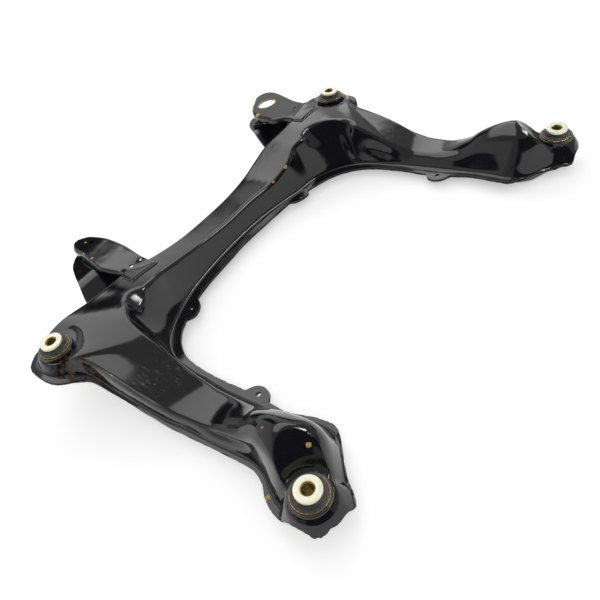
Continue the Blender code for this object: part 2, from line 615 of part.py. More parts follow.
def main():
    """Build the whole subframe."""
    for made in list(bpy.data.objects):
        bpy.data.objects.remove(made)
    bores = []
    for end, place in (("rear", REAR_MOUNT), ("front", FRONT_MOUNT)):
        for side_name, side in (("left", -1), ("right", 1)):
            centre = (place[0] * side, place[1], place[2])
            bores.append(bush(centre, end + "_" + side_name))
    grid = build_shells(bores)
    cover = cover_cutter(grid)
    height_at = height_finder(grid)
    left_lower, left_bolt = build_horn("left", LEFT_UPPER, LEFT_LOWER, LEFT_BOLT, LEFT_BOLT_HOLE,
                                       LEFT_TAB_HOLE, cover, height_at)
    cut(left_lower, left_bolt)
    build_horn("right", RIGHT_UPPER, RIGHT_LOWER, RIGHT_BOLT, RIGHT_BOLT_HOLE,
               RIGHT_TAB_HOLE, cover, height_at)
    upper_top = LEFT_UPPER[-1][0][2] * MM
    lower_top = LEFT_LOWER[-1][0][2] * MM
    spacer_height = upper_top - HORN_SHEET - lower_top - 2 * FIT_GAP
    spacer = turned("spacer_left",
                    ((LEFT_BOLT_HOLE, 0.0), (LEFT_BOLT_HOLE + SPACER_WALL, 0.0),
                     (LEFT_BOLT_HOLE + SPACER_WALL, spacer_height), (LEFT_BOLT_HOLE, spacer_height)),
                    BLACK_COAT, (LEFT_BOLT[0] * MM, LEFT_BOLT[1] * MM, lower_top + FIT_GAP))
    spacer.rotation_euler = (0, 0, 0)
    nut_place = (WELD_NUT_PLACE[0] * MM, WELD_NUT_PLACE[1] * MM, RIGHT_LOWER[-1][0][2] * MM + FIT_GAP)
    hex_prism("weld_nut_right", NUT_ACROSS, NUT_ACROSS / 4, NUT_HEIGHT, WELD_STEEL, nut_place)
    rest_on_origin()


main()
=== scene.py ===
"""Looks of a pressed steel car subframe, laid out as an add-on and run as a script.

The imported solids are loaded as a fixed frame.  Each piece here is a surface of two
parameters worked out on a grid, in the drawing's millimetres, then set into the frame.
X runs across the car, +Y points to the rear and +Z up.
"""

import math
from functools import lru_cache, reduce

import bpy
import numpy as np
from bpy.props import FloatProperty, FloatVectorProperty, PointerProperty
from bpy.types import Operator, Panel, PropertyGroup
from mathutils import Matrix, Vector


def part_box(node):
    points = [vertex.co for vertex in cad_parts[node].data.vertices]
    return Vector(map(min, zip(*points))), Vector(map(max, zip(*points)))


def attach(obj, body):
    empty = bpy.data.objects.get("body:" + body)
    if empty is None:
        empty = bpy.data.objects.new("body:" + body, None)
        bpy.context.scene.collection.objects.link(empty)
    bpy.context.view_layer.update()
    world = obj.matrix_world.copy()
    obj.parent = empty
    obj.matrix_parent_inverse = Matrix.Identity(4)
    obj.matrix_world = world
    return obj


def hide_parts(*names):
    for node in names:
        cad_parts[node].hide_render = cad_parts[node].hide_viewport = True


bl_info = {
    "name": "Pressed Steel Subframe",
    "version": (1, 0, 0),
    "blender": (4, 5, 0),
    "location": "3D View > Sidebar > Subframe",
    "description": "Builds the shells, horns, bushes and welds of a car subframe",
    "category": "Object",
}

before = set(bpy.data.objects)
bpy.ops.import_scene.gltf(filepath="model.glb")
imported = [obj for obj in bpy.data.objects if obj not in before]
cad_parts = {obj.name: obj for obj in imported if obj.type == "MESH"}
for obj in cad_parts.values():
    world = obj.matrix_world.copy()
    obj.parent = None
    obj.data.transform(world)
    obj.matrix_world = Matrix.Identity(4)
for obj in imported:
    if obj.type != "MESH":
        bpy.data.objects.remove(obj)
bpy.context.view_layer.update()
BODY = "root"
MM = 0.001

# Where the drawing's origin lies in the frame: the front edge and the right horn's top give it
FRONT_EDGE = -598.0
HORN_TOP = 129.0
SHIFT = np.array((0.0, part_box("upper_shell")[0].y - FRONT_EDGE * MM,
                  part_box("horn_upper_right")[1].z - HORN_TOP * MM))

# Rubber bushes: places of the disc tops, and the tilt of their axes towards the front
REAR_MOUNT = (448.4, 0.0, 134.1)
FRONT_MOUNT = (439.2, -557.1, 70.0)
MOUNT_TILT = math.radians(6.56)
AXIS = np.array((0.0, -math.sin(MOUNT_TILT), math.cos(MOUNT_TILT)))
UPRIGHT = np.array((0.0, 0.0, 1.0))
BUSHES = tuple((end + "_" + side, (x * sign, y, z))
               for end, (x, y, z) in (("rear", REAR_MOUNT), ("front", FRONT_MOUNT))
               for side, sign in (("left", -1), ("right", 1)))
DISC_RADIUS = 20.0
DISC_THICKNESS = 5.0
CORE_BORE = 8.25
LINER_RADIUS = 10.3
CORE_NECK = 11.5
SLEEVE_DROP = 14.0
SLEEVE_RADIUS = 28.0
SLEEVE_WALL = 1.4
SLEEVE_LENGTH = 48.0
HOUSING_WALL = 3.5
HOUSING_DROP = 2.5
# Room round the housings in the upper and the lower shell, and the gap between other pieces
UPPER_ROOM = 0.6
LOWER_ROOM = 0.8
FIT_GAP = 0.3
TURN_STEPS = 96
SHARP_ANGLE = math.radians(40)

# Seats pressed into the upper shell round the housings, in a hollow whose rounding is cut off
# at a depth below its roof
SEAT_RADIUS = 35.0
SEAT_DROP = SLEEVE_DROP + HOUSING_DROP + 5.0
SEAT_WALL_SLOPE = 2.2
SEAT_ROUNDING = 3.0
SEAT_CLEARANCE = 0.4
HOLLOW_RADIUS = 40.0
HOLLOW_REACH = 3 * HOLLOW_RADIUS
HOLLOW_CUT_OFF = 12.0
FRONT_HOLLOW_SLOPE = 1.5
REAR_HOLLOW_SLOPE = 0.8

# Half sections: flange edge, foot and crest of the inner wall, then crest, foot and
# flange edge of the outer wall
SECTIONS = (
    # crossmember, from its middle outwards
    ((0, -38, 12), (0, -13, 13), (0, -3, 60),
     (0, 80, 55), (0, 83, 14), (0, 95, 12)),
    ((80, -43, 12), (80, -19, 13), (80, -8, 63),
     (80, 78, 57), (81, 81, 14), (81, 94, 12)),
    ((155, -50, 12), (153, -34, 13), (152, -24, 68),
     (152, 79, 65), (154, 82, 14), (156, 94, 12)),
    ((205, -65, 12), (202, -48, 13), (199, -37, 87),
     (200, 76, 80), (203, 79, 14), (206, 90, 12)),
    ((243, -80, 12), (239, -53, 13), (236, -34, 106),
     (242, 63, 100), (246, 67, 24), (250, 76, 22)),
    ((268, -94, 12), (264, -64, 13), (268, -45, 113),
     (292, 32, 121), (296, 44, 46), (300, 60, 44)),
    # corner, fanning out round the rear bush
    ((288, -112, 12), (288, -80, 13), (300, -52, 118),
     (345, 34, 124), (348, 47, 72), (352, 64, 70)),
    ((303, -133, 12), (307, -100, 13), (322, -62, 120),
     (400, 44, 126), (403, 56, 90), (408, 74, 90)),
    ((311, -150, 12), (321, -122, 13), (337, -82, 118),
     (440, 44, 122), (447, 54, 94), (456, 70, 94)),
    ((316, -165, 12), (329, -142, 13), (344, -106, 112),
     (474, 24, 118), (486, 30, 94), (498, 38, 94)),
    ((319, -180, 12), (333, -160, 13), (348, -136, 102),
     (476, -20, 116), (487, -26, 90), (498, -34, 90)),
    ((322, -200, 12), (336, -185, 13), (350, -170, 86),
     (444, -58, 108), (450, -62, 72), (458, -68, 68)),
    # arm
    ((324, -225, 11), (338, -214, 12), (352, -208, 64),
     (438, -120, 92), (441, -120, 42), (447, -120, 38)),
    ((325, -250, 11), (340, -242, 12), (354, -242, 49),
     (435, -185, 69), (438, -185, 27), (445, -185, 25)),
    ((325, -276, 10), (341, -272, 11), (355, -271, 37.5),
     (431, -241, 46.5), (435, -241, 17), (443, -241, 15)),
    ((324, -303, 9), (342, -301, 10), (356, -300, 36),
     (425, -280, 38.5), (431, -282, 13), (440, -284, 12)),
    ((324, -345, 9), (342, -343, 10), (357, -340, 38),
     (421, -340, 40), (430, -340, 12), (437, -340, 12)),
    ((328, -385, 10), (343, -385, 11), (358, -385, 53),
     (416, -390, 58), (427, -390, 12), (435, -392, 12)),
    ((329, -420, 12), (341, -420, 13), (361, -420, 75),
     (414, -422, 76), (426, -424, 12), (435, -426, 12)),
    # hump and front bush
    ((322, -455, 15), (335, -456, 16), (363, -455, 93),
     (420, -456, 89), (435, -455, 13), (446, -455, 13)),
    ((318, -485, 16), (331, -488, 17), (366, -488, 103),
     (427, -490, 93), (452, -484, 14), (466, -481, 14)),
    ((320, -506, 15), (335, -512, 17), (366, -512, 104),
     (434, -512, 80), (463, -508, 14), (476, -506, 14)),
    ((336, -524, 12), (350, -532, 14), (371, -536, 92),
     (442, -545, 52), (466, -545, 14), (480, -540, 14)),
    ((366, -550, 13), (377, -555, 14), (391, -554, 58),
     (444, -572, 44), (462, -572, 14), (479, -568, 14)),
    ((386, -571, 13), (395, -572, 14), (406, -569, 36),
     (440, -577, 32), (458, -577, 14), (475, -582, 14)),
    ((397, -586, 13), (404, -585, 13), (412, -585, 14),
     (438, -587, 14), (450, -588, 13), (463, -590, 14)),
    ((409, -596, 13), (413, -597, 13), (418, -597, 13),
     (434, -597, 13), (441, -597, 13), (448, -596, 13)),
)
MIDDLE = len(SECTIONS) - 1
# Where along Y the arms begin
ARM_BEGIN = -200.0
# How the left half of the crossmember differs: moves of its inner foot, its inner crest and its
# outer crest along Y and Z, by section
LEFT_MOVES = (
    ((0, 0), (0, 0), (0, 0)),
    ((3, 0), (3, 6), (0, 3)),
    ((9, 0), (12, 15), (-9, 11)),
    ((10, 0), (16, 9), (-12, 11)),
    ((2, 0), (-2, 1), (-11, 7)),
)
# Fillets of the inner foot and crest, then of the outer crest and foot, and the largest share of
# a straight run that one may take
FILLETS = (7.0, 9.0, 9.0, 7.0)
FILLET_SHARE = 0.47
# Hump before each front bush: its fillets, how far its top bulges up, and the places along the
# loft where it begins, is full, fades and ends
HUMP_FILLETS = (10.0, 40.0, 20.0, 9.0)
HUMP_CROWN = 7.0
HUMP_ROWS = (15.0, 18.5, 22.0, 24.0)
# Farthest that a sheet's edge may reach, along X to both sides and towards the front
EDGE_LIMIT = (501.1, 597.0)
# Belly of the lower shell: how far down it goes, how far in its feet stand and the largest share
# of the width for that, and how much lower the flange goes where it is steep
BELLY_DEPTH = 16.5
BELLY_INSET = 12.0
BELLY_SHARE = 0.3
STEEP_SEAM = 0.4
BELLY_FILLET = 8.0
FRONT_END_SECTIONS = 3

# Grids of the shells: rows, steps on the straight runs and steps on the fillets.  Rows lie
# closer by a share near the lugs, over a distance, and along the front ends, between sections
UPPER_GRID = (400, (8, 11, 22, 10, 8), (7, 12, 11, 7))
LOWER_GRID = (360, (8, 4, 18, 4, 8), (5, 5, 5, 5))
LUG_ROWS = (3.2, 15.0)
FRONT_ROWS = (0.8, MIDDLE - 9, MIDDLE - 6)
MEASURED_ROWS = 4001
EDGE_CROWDING = 1.6
# Waves along the flange edges: paces and heights, then how far they draw each shell's edge in
EDGE_WAVES = ((5.3, 1.0), (8.9, 0.7), (17.3, 0.5))
WAVY_FRONT = (MIDDLE - 7, MIDDLE - 4)
UPPER_WAVE = 1.1
LOWER_WAVE = 0.7
LOWER_WAVE_SHIFT = 0.35

# Lugs with a hole on the inner flange
LUG_REACH = 19.0
LUG_HALF_WIDTH = 24.0
LUG_FLARE = 1.45
LUG_HOLE = 5.2
ARM_LUG = (321.4, -344.0)
LEFT_LUG = (-212.0, -65.4)
RIGHT_LUG = (177.0, -65.4)
LUGS = ((-ARM_LUG[0], ARM_LUG[1]), ARM_LUG, LEFT_LUG, RIGHT_LUG)
# Drains of the belly, each on both sides where it is off the middle
DRAINS = ((0.0, 30.0), (200.0, 15.0), (388.0, -250.0), (388.0, -380.0))
DRAIN_RADIUS = 8.0

# Pocket cut into each inner corner by a slanting plane: a point of it, its rises outwards and
# along Y on either side, half of its width, and the slope of its side walls.  It fades in
# along Y, and over the depth at which the skin lies below it.
POCKET_POINT = (290.0, -27.0, 119.0)
POCKET_RISES = ((0.14, 0.90), (0.14, 1.3))
POCKET_DISH = 0.0025
POCKET_HALF_WIDTH = 15.0
POCKET_SIDE_SLOPE = 1.3
POCKET_ROUNDING = 7.0
POCKET_RIM = 2.5
POCKET_FRONT = (-130.0, -110.0)
POCKET_FADE = (-20.0, -8.0)
# Scallops of the flange round the front bushes: waves and height, and the radii, the heights
# and the places along Y over which they set in
SCALLOPS = (9.0, 1.2)
SCALLOP_RADII = (37.0, 43.0)
SCALLOP_HEIGHTS = (40.0, 30.0)
SCALLOP_FRONT = (-480.0, -500.0)

# Pressed-in details of the shell, as paths on its surface: points, width, depth
PATH_STEPS = 12
GROOVES = (
    # step outside the crest of each arm
    (((436, -72, 103), (434, -124, 84), (436, -165, 66), (433, -208, 53), (428, -250, 41)),
     6.0, 5.0),
    # long dent low on the inner wall of each arm
    (((342, -160, 54), (344, -186, 44), (346, -222, 32)), 11.0, 4.0),
    # narrow dent outside each arm before the hump
    (((424, -322, 33), (424, -370, 36), (424, -425, 48)), 6.0, 5.0),
    # crescent beside each rear bush
    (((425, -38, 108), (409, -20, 112), (402, 4, 116), (405, 26, 119)), 3.2, 2.4),
)
RIDGES = (
    # pillar between the inner corner and the arm's dent
    (((336, -104, 84), (330, -114, 55), (327, -123, 30)), 7.0, 3.0),
)

# Horn plates: stations along each plate, with its -X edge and its +X edge
LEFT_UPPER = (
    ((-259, -3, 114), (-186, 24, 90)), ((-258, 28, 114), (-187, 42, 100)),
    ((-253, 56, 113), (-192, 54, 112)), ((-261, 103, 118), (-184, 110, 118)),
    ((-254, 150, 122), (-182, 160, 122)), ((-247, 184, 124), (-184, 186, 124)),
    ((-243, 222, 124), (-190, 222, 124)), ((-238, 236, 124), (-197, 236, 124)),
    ((-230, 247, 124), (-207, 247, 124)),
)
LEFT_LOWER = (
    ((-336, 40, 50), (-225, 40, 50)), ((-334, 76, 58), (-222, 84, 58)),
    ((-322, 112, 78), (-214, 108, 78)), ((-304, 145, 96), (-206, 140, 96)),
    ((-286, 185, 98), (-200, 180, 98)), ((-270, 215, 98), (-202, 212, 98)),
    ((-250, 236, 98), (-210, 236, 98)), ((-236, 244, 98), (-220, 244, 98)),
)
RIGHT_UPPER = (
    ((324, 1, 126), (374, -2, 126)), ((321, 24, 127.5), (394, 16, 127)),
    ((322, 50, 129), (398, 46, 129)), ((311, 82, 128), (408, 84, 128)),
    ((318, 122, 127), (426, 126, 127)), ((328, 160, 127), (444, 170, 127)),
    ((352, 190, 127), (450, 200, 127)), ((388, 212, 127), (442, 218, 127)),
    ((406, 222, 127), (428, 224, 127)),
)
RIGHT_LOWER = (
    ((266, 40, 50), (400, 40, 50)), ((264, 76, 58), (398, 84, 58)),
    ((276, 110, 78), (402, 110, 78)), ((292, 142, 96), (410, 140, 96)),
    ((310, 172, 98), (414, 164, 98)), ((326, 190, 98), (408, 184, 98)),
    ((342, 200, 98), (396, 196, 98)), ((354, 204, 98), (382, 203, 98)),
)
HORN_SKIRT = 16.0
HORN_BEND = 7.5
HORN_SKIRT_END = 3.0
# Room for the upper plate above the spacer, where a lower plate begins along Y, and the gap
# between an upper plate and the shell with its rounding
HORN_SHEET_ROOM = 3.4
LOWER_PLATE_BEGIN = 46.0
PLATE_GAP = 0.2
PLATE_ROUNDING = 1.5
LEFT_BOLT = (-208.0, 200.0)
LEFT_BOLT_HOLE = 6.0
RIGHT_BOLT = (386.0, 164.0)
RIGHT_BOLT_HOLE = 23.0
LEFT_TAB_HOLE = (-226.0, 44.0)
RIGHT_TAB_HOLE = (366.0, 52.0)
TAB_HOLE = 4.5
WELD_NUT_PLACE = (322.0, 160.0)
NUT_ACROSS = 17.0
NUT_HEIGHT = 8.0
NUT_CHAMFER = 1.2
NUT_TOP_SHARE = 1.04
SPACER_WALL = 3.0
SMALL_TURN_STEPS = 48
# Weld bead: its radius, how far out from the tab's edge it runs in radii, how deep it sinks in,
# and the step along it
WELD_BEAD = 2.8
WELD_OUT = 0.55
WELD_SINK = 0.5
BEAD_STEP = 0.7
# How far from the shell in plan a plate or a bead still rests on it, and how much its normal
# has to look up there
SURFACE_REACH = 5.0
LEAST_UPWARD = 0.3

# Camera, in the drawing's frame
CAMERA_PLACE = (-640.4, -940.6, 723.8)
CAMERA_RIGHT = (0.5729, -0.7673, -0.2883)
CAMERA_DOWN = (-0.6663, -0.2311, -0.7089)
CAMERA_LENS = 35.06
SENSOR = 36.0

FLOOR_REACH = 40.0
FLOOR_COLOUR = (0.80, 0.80, 0.80)

# Dome that the glossy coat reflects: a level, then cards laid over it in turn.  A wall card
# has azimuths from +X towards +Y, elevations, both in degrees, a soft edge and a radiance.
# A ceiling card has its X and Y reach on a ceiling one unit up.
DOME_RADIUS = 14.0
DOME_LEVEL = 0.42
WALL_CARDS = (
    # far side
    ((14.0, 165.0), (-4.0, 36.0), 7.0, 0.75),
    # dark doorway in it
    ((58.0, 84.0), (12.0, 36.0), 3.0, 0.02),
    # dark side of the room behind the camera
    ((-172.0, -76.0), (-4.0, 58.0), 8.0, 0.02),
)
CEILING_CARDS = (
    ((-0.5, 1.85), (0.16, 1.27), 0.05, 2.5),
)
STRIP_CARD = ((0.15, 1.15), (-0.74, -0.40), 0.16)
# Light of the world on the object
WORLD_LEVEL = 0.55
LAMP_TARGET = (0.0, 0.0, 0.05)
LAMPS = (
    # name, place, size, radiance
    ("window", (3.9, 4.9, 4.4), (8.0, 4.5), 1.6),
    ("front fill", (-3.2, -3.6, 4.6), (3.5, 3.5), 2.2),
)


class PressingSettings(PropertyGroup):
    """Sizes of the pressed sheets."""

    sheet: FloatProperty(name="Sheet", description="Thickness of the shells", default=2.4,
                         min=1.0, max=3.0)
    seam: FloatProperty(name="Seam", description="Height from one flange's top to the next one's",
                        default=3.4, min=2.5, max=5.0)
    horn_sheet: FloatProperty(name="Horn sheet", description="Thickness of the horn plates",
                              default=3.2, min=2.0, max=4.0)


class FinishSettings(PropertyGroup):
    """Colours of the finishes."""

    coat: FloatVectorProperty(name="Coat", description="Black dip coat", subtype="COLOR",
                              default=(0.0065, 0.0065, 0.0080), min=0.0, max=1.0)
    ivory: FloatVectorProperty(name="Core", description="Pale face of the bush cores",
                               subtype="COLOR", default=(0.86, 0.85, 0.66), min=0.0, max=1.0)
    plating: FloatVectorProperty(name="Plating", description="Yellow plating and bare primer",
                                 subtype="COLOR", default=(0.50, 0.38, 0.13), min=0.0, max=1.0)
    rubber: FloatVectorProperty(name="Rubber", description="Rubber of the bushes", subtype="COLOR",
                                default=(0.020, 0.018, 0.017), min=0.0, max=1.0)
    # This colour is for real dust, and it is also the colour that the painted sheen streaks lighten
    # the shell coat towards
    dust: FloatVectorProperty(name="Dust", description="Dust and dried scuffs", subtype="COLOR",
                              default=(0.22, 0.20, 0.17), min=0.0, max=1.0)


class StageSettings(PropertyGroup):
    """Light levels of the stage."""

    floor: FloatProperty(name="Floor glow", description="Own light of the white floor",
                         default=0.45, min=0.0, max=1.0)
    strip: FloatProperty(name="Strip", description="Radiance of the strip light in front",
                         default=26.0, min=0.0, max=60.0)


# Small tools for arrays


def unit(vectors):
    """Vectors of length one along the last axis."""
    return vectors / np.maximum(np.linalg.norm(vectors, axis=-1, keepdims=True), 1e-9)


def smooth_through(points, u):
    """Catmull-Rom curve through points (n, ...) at the parameters u from 0 to n - 1."""
    points = np.asarray(points, dtype=float)
    last = len(points) - 1
    i = np.clip(np.floor(u).astype(int), 0, last - 1)
    f = (u - i).reshape((-1,) + (1,) * (points.ndim - 1))
    p0 = points[np.maximum(i - 1, 0)]
    p1 = points[i]
    p2 = points[i + 1]
    p3 = points[np.minimum(i + 2, last)]
    cubic = 3 * (p1 - p2) + p3 - p0
    square = 2 * p0 - 5 * p1 + 4 * p2 - p3
    return p1 + 0.5 * f * (p2 - p0 + f * (square + f * cubic))


def softly_above(value, rounding):
    """max(value, 0) with a rounded corner: (v + sqrt(v^2 + r^2)) / 2."""
    return 0.5 * (value + np.sqrt(value ** 2 + rounding ** 2))


def smoothstep(low, high, value):
    """0 below low, 1 above high, and 3t^2 - 2t^3 between."""
    t = np.clip((value - low) / (high - low), 0, 1)
    return t * t * (3 - 2 * t)


def grid_normals(grid, blur=0):
    """Upward unit normals of a grid: the cross product of its two slopes, averaged blur times."""
    normals = unit(np.cross(np.gradient(grid, axis=0), np.gradient(grid, axis=1)))
    for _ in range(blur):
        padded = np.pad(normals, ((1, 1), (1, 1), (0, 0)), mode="edge")
        normals = unit(padded[:-2, 1:-1] + padded[2:, 1:-1] + padded[1:-1, :-2]
                       + padded[1:-1, 2:] + 2 * normals)
    return normals * np.sign(normals[..., 2].mean())


def path_distance(points, path):
    """Distance of points from a path of straight runs, and how far along it they lie, 0 to 1."""
    path = np.asarray(path, dtype=float)
    runs = np.diff(path, axis=0)
    lengths = np.linalg.norm(runs, axis=1)
    before = np.concatenate([[0.0], np.cumsum(lengths)])
    nearest = np.full(points.shape[:-1], np.inf)
    share = np.zeros(points.shape[:-1])
    for start, run, length, gone in zip(path[:-1], runs, lengths, before):
        t = np.clip(((points - start) @ run) / length ** 2, 0, 1)
        away = np.linalg.norm(points - start - t[..., None] * run, axis=-1)
        closer = away < nearest
        nearest = np.where(closer, away, nearest)
        share = np.where(closer, (gone + t * length) / before[-1], share)
    return nearest, share


def pressed_along(grid, features, sign):
    """Move a grid along its normals by depth * exp(-(d / width)^2) about each path, on both sides.

    d is the distance from a smooth curve through the path's points, and the depth
    fades away at both ends as sin(pi * t) ^ 0.6.
    """
    normals = grid_normals(grid, blur=2)
    moved = np.zeros(grid.shape[:2])
    for path, width, depth in features:
        curve = smooth_through(path, np.linspace(0, len(path) - 1, PATH_STEPS))
        for side in (-1, 1):
            away, share = path_distance(grid, curve * (side, 1, 1))
            fade = np.sin(np.pi * np.clip(share, 0.02, 0.98)) ** 0.6
            moved += depth * fade * np.exp(-(away / width) ** 2)
    return grid + normals * (sign * moved)[..., None]


# The shells


def full_rails(rows):
    """Rails (rows, 6, 3) from the left arm's front end (-26) to the right arm's (26)."""
    right = np.array(SECTIONS, dtype=float)
    left = right.copy()
    left[:len(LEFT_MOVES), 1:4, 1:] += LEFT_MOVES
    whole = np.concatenate([left[:0:-1] * (-1, 1, 1), right])
    return smooth_through(whole, rows + MIDDLE)


def row_parameters(count):
    """Rows of the loft: even steps of length, and closer ones at the lugs and the front ends."""
    dense = np.linspace(-MIDDLE, MIDDLE, MEASURED_ROWS)
    rails = full_rails(dense)
    middle = rails[:, 1:4].mean(axis=1)
    steps = np.linalg.norm(np.diff(middle, axis=0), axis=1)
    weight = np.ones(len(steps))
    closer, reach = LUG_ROWS
    for x, y in LUGS:
        away = np.hypot(rails[1:, 0, 0] - x, rails[1:, 0, 1] - y)
        weight += closer * np.exp(-(away / reach) ** 2)
    closer, begin, full = FRONT_ROWS
    weight += closer * smoothstep(begin, full, np.abs(dense[1:]))
    gone = np.concatenate([[0.0], np.cumsum(steps * weight)])
    return np.interp(np.linspace(0, gone[-1], count), gone, dense)


def lug_bump(distance):
    """Outline of a lug over the distance s from its middle, in half widths.

    It is the round top sqrt(1 - (s / 1.05)^2) or, where that is more, the flare at the
    sides, 0.22 * (flare - s)^2.
    """
    share = np.clip(np.abs(distance) / LUG_HALF_WIDTH, 0, LUG_FLARE)
    round_top = np.sqrt(np.clip(1 - (share / 1.05) ** 2, 0, 1))
    return np.maximum(round_top, 0.22 * np.clip(LUG_FLARE - share, 0, 1) ** 2)


def add_lugs(rails):
    """Push the inner flange edge out into its four lugs."""
    edge = rails[:, 0]
    on_arm = edge[:, 1] < ARM_BEGIN
    side = np.sign(edge[:, 0])
    edge[:, 0] -= side * LUG_REACH * lug_bump(edge[:, 1] - ARM_LUG[1]) * on_arm
    for lug_x, _ in (LEFT_LUG, RIGHT_LUG):
        bump = lug_bump(edge[:, 0] - lug_x) * ~on_arm * (np.sign(lug_x) == side)
        edge[:, 1] -= LUG_REACH * bump
    return rails


def uneven_edges(rails, rows, amount):
    """Draw both flange edges in by amount * max(wave + 0.6, 0), most round the front bushes.

    The wave is a sum of sines of the row, and there the edges also go up and down.
    """
    front = smoothstep(*WAVY_FRONT, np.abs(rows))
    for edge, foot, phase in ((0, 1, 0.4), (5, 4, 2.1)):
        wave = sum(height * np.sin(rows * pace + turn * phase)
                   for turn, (pace, height) in enumerate(EDGE_WAVES, start=1))
        inward = unit(rails[:, foot] - rails[:, edge])
        share = np.clip(wave + 0.6, 0, None) * amount * (0.45 + 0.5 * front)
        rails[:, edge] += inward * share[:, None]
        rails[:, edge, 2] += 0.5 * amount * front * np.sin(rows * 6.1 + phase)
    return rails


def across(rails, fillets, straight, arcs):
    """Section points: straight runs between rails, and a parabola of the fillet's reach at each.

    The arc is (1-w)^2 enter + 2w(1-w) corner + w^2 leave.  Runs crowd towards the flange edges.
    """
    columns = [rails[:, 0]]
    start = rails[:, 0]
    for k, fillet in enumerate(fillets, start=1):
        corner = rails[:, k]
        back = corner - rails[:, k - 1]
        ahead = rails[:, k + 1] - corner
        back_length = np.linalg.norm(back, axis=1, keepdims=True)
        ahead_length = np.linalg.norm(ahead, axis=1, keepdims=True)
        enter = corner - back / back_length * np.minimum(fillet, FILLET_SHARE * back_length)
        leave = corner + ahead / ahead_length * np.minimum(fillet, FILLET_SHARE * ahead_length)
        steps = np.arange(1, straight[k - 1] + 1) / straight[k - 1]
        if k == 1:
            steps = steps ** EDGE_CROWDING
        for step in steps:
            columns.append(start + (enter - start) * step)
        for w in np.arange(1, arcs[k - 1] + 1) / arcs[k - 1]:
            columns.append(enter * (1 - w) ** 2 + corner * 2 * w * (1 - w) + leave * w ** 2)
        start = leave
    for step in 1 - (1 - np.arange(1, straight[-1] + 1) / straight[-1]) ** EDGE_CROWDING:
        columns.append(start + (rails[:, -1] - start) * step)
    return np.stack(columns, axis=1)


def seat_shape(points, mount, hollow_slope, below=0.0):
    """Press a bush seat: z = max(min(z, roof), floor) with rounded corners.

    The roof is a funnel that opens outside the hollow's radius, and the floor a raised
    disc that falls away outside the seat's radius.  Both lean with the bush's axis.
    """
    lip = np.array(mount) - AXIS * (SEAT_DROP + below)
    for side in (-1, 1):
        centre = lip * (side, 1, 1)
        level = centre[2] + (points[..., 1] - centre[1]) * math.tan(MOUNT_TILT)
        away = np.hypot(points[..., 0] - centre[0], points[..., 1] - centre[1])
        roof = level + hollow_slope * softly_above(away - HOLLOW_RADIUS, SEAT_ROUNDING)
        floor = level - SEAT_WALL_SLOPE * softly_above(away - SEAT_RADIUS, SEAT_ROUNDING)
        lowered = points[..., 2] - softly_above(points[..., 2] - roof, SEAT_ROUNDING)
        lowered = np.where(points[..., 2] > roof - HOLLOW_CUT_OFF, lowered, points[..., 2])
        pressed = np.maximum(lowered, floor)
        points[..., 2] = np.where(away < HOLLOW_REACH, pressed, points[..., 2])
    return points


def pocketed(grid):
    """Cut the corner pockets: z = min(z, dished plane + side walls), with a rounded rim."""
    x, y, z = POCKET_POINT
    outwards = np.abs(grid[..., 0]) - x
    along = grid[..., 1] - y
    rise = np.where(grid[..., :1] < 0, *POCKET_RISES)
    plane = z + rise[..., 0] * outwards + rise[..., 1] * along
    plane = plane + POCKET_DISH * (outwards ** 2 + (along + POCKET_HALF_WIDTH) ** 2)
    beside = softly_above(np.abs(outwards) - POCKET_HALF_WIDTH, POCKET_ROUNDING)
    over = grid[..., 2] - (plane + POCKET_SIDE_SLOPE * beside)
    near = smoothstep(*POCKET_FRONT, grid[..., 1]) * smoothstep(*POCKET_FADE, over)
    grid[..., 2] -= near * softly_above(over, POCKET_RIM)
    return grid


def hump_share(rows):
    """0 on the rest of the frame, 1 on the humps, by the row's place along the loft."""
    start, full, fading, end = HUMP_ROWS
    away = np.abs(rows)
    return smoothstep(start, full, away) * smoothstep(end, fading, away)


def crowned(grid, rails, rows):
    """Bulge the humps' top: crown * sin(pi * t)^2, t from the inner crest to the outer one."""
    start = rails[:, None, 2, :2]
    over = rails[:, None, 3, :2] - start
    t = ((grid[..., :2] - start) * over).sum(axis=-1) / (over ** 2).sum(axis=-1)
    grid[..., 2] += HUMP_CROWN * hump_share(rows)[:, None] * np.sin(np.pi * np.clip(t, 0, 1)) ** 2
    return grid


def scalloped(grid):
    """Wave the flange round the front bushes: height * sin(waves * angle), outside a radius."""
    waves, height = SCALLOPS
    x, y, _ = FRONT_MOUNT
    dx = np.abs(grid[..., 0]) - x
    dy = grid[..., 1] - y
    share = (smoothstep(*SCALLOP_RADII, np.hypot(dx, dy))
             * smoothstep(*SCALLOP_HEIGHTS, grid[..., 2])
             * smoothstep(*SCALLOP_FRONT, grid[..., 1]))
    grid[..., 2] += height * share * np.sin(waves * np.arctan2(dy, dx))
    return grid


def kept_inside(grid):
    """Hold a grid inside the reach of the solids."""
    reach, front = EDGE_LIMIT
    grid[..., 0] = np.clip(grid[..., 0], -reach, reach)
    grid[..., 1] = np.maximum(grid[..., 1], -front)
    return grid


@lru_cache(maxsize=1)
def upper_grid():
    """Outside of the upper shell: the loft with pockets, seats, grooves and ridges."""
    count, straight, arcs = UPPER_GRID
    rows = row_parameters(count)
    rails = uneven_edges(add_lugs(full_rails(rows)), rows, UPPER_WAVE)
    share = hump_share(rows)[:, None]
    fillets = [plain + (wide - plain) * share for plain, wide in zip(FILLETS, HUMP_FILLETS)]
    grid = across(rails, fillets, straight, arcs)
    grid = pocketed(crowned(grid, rails, rows))
    grid = seat_shape(grid, REAR_MOUNT, REAR_HOLLOW_SLOPE)
    grid = scalloped(kept_inside(seat_shape(grid, FRONT_MOUNT, FRONT_HOLLOW_SLOPE)))
    grid = pressed_along(grid, GROOVES, -1)
    return pressed_along(grid, RIDGES, 1)


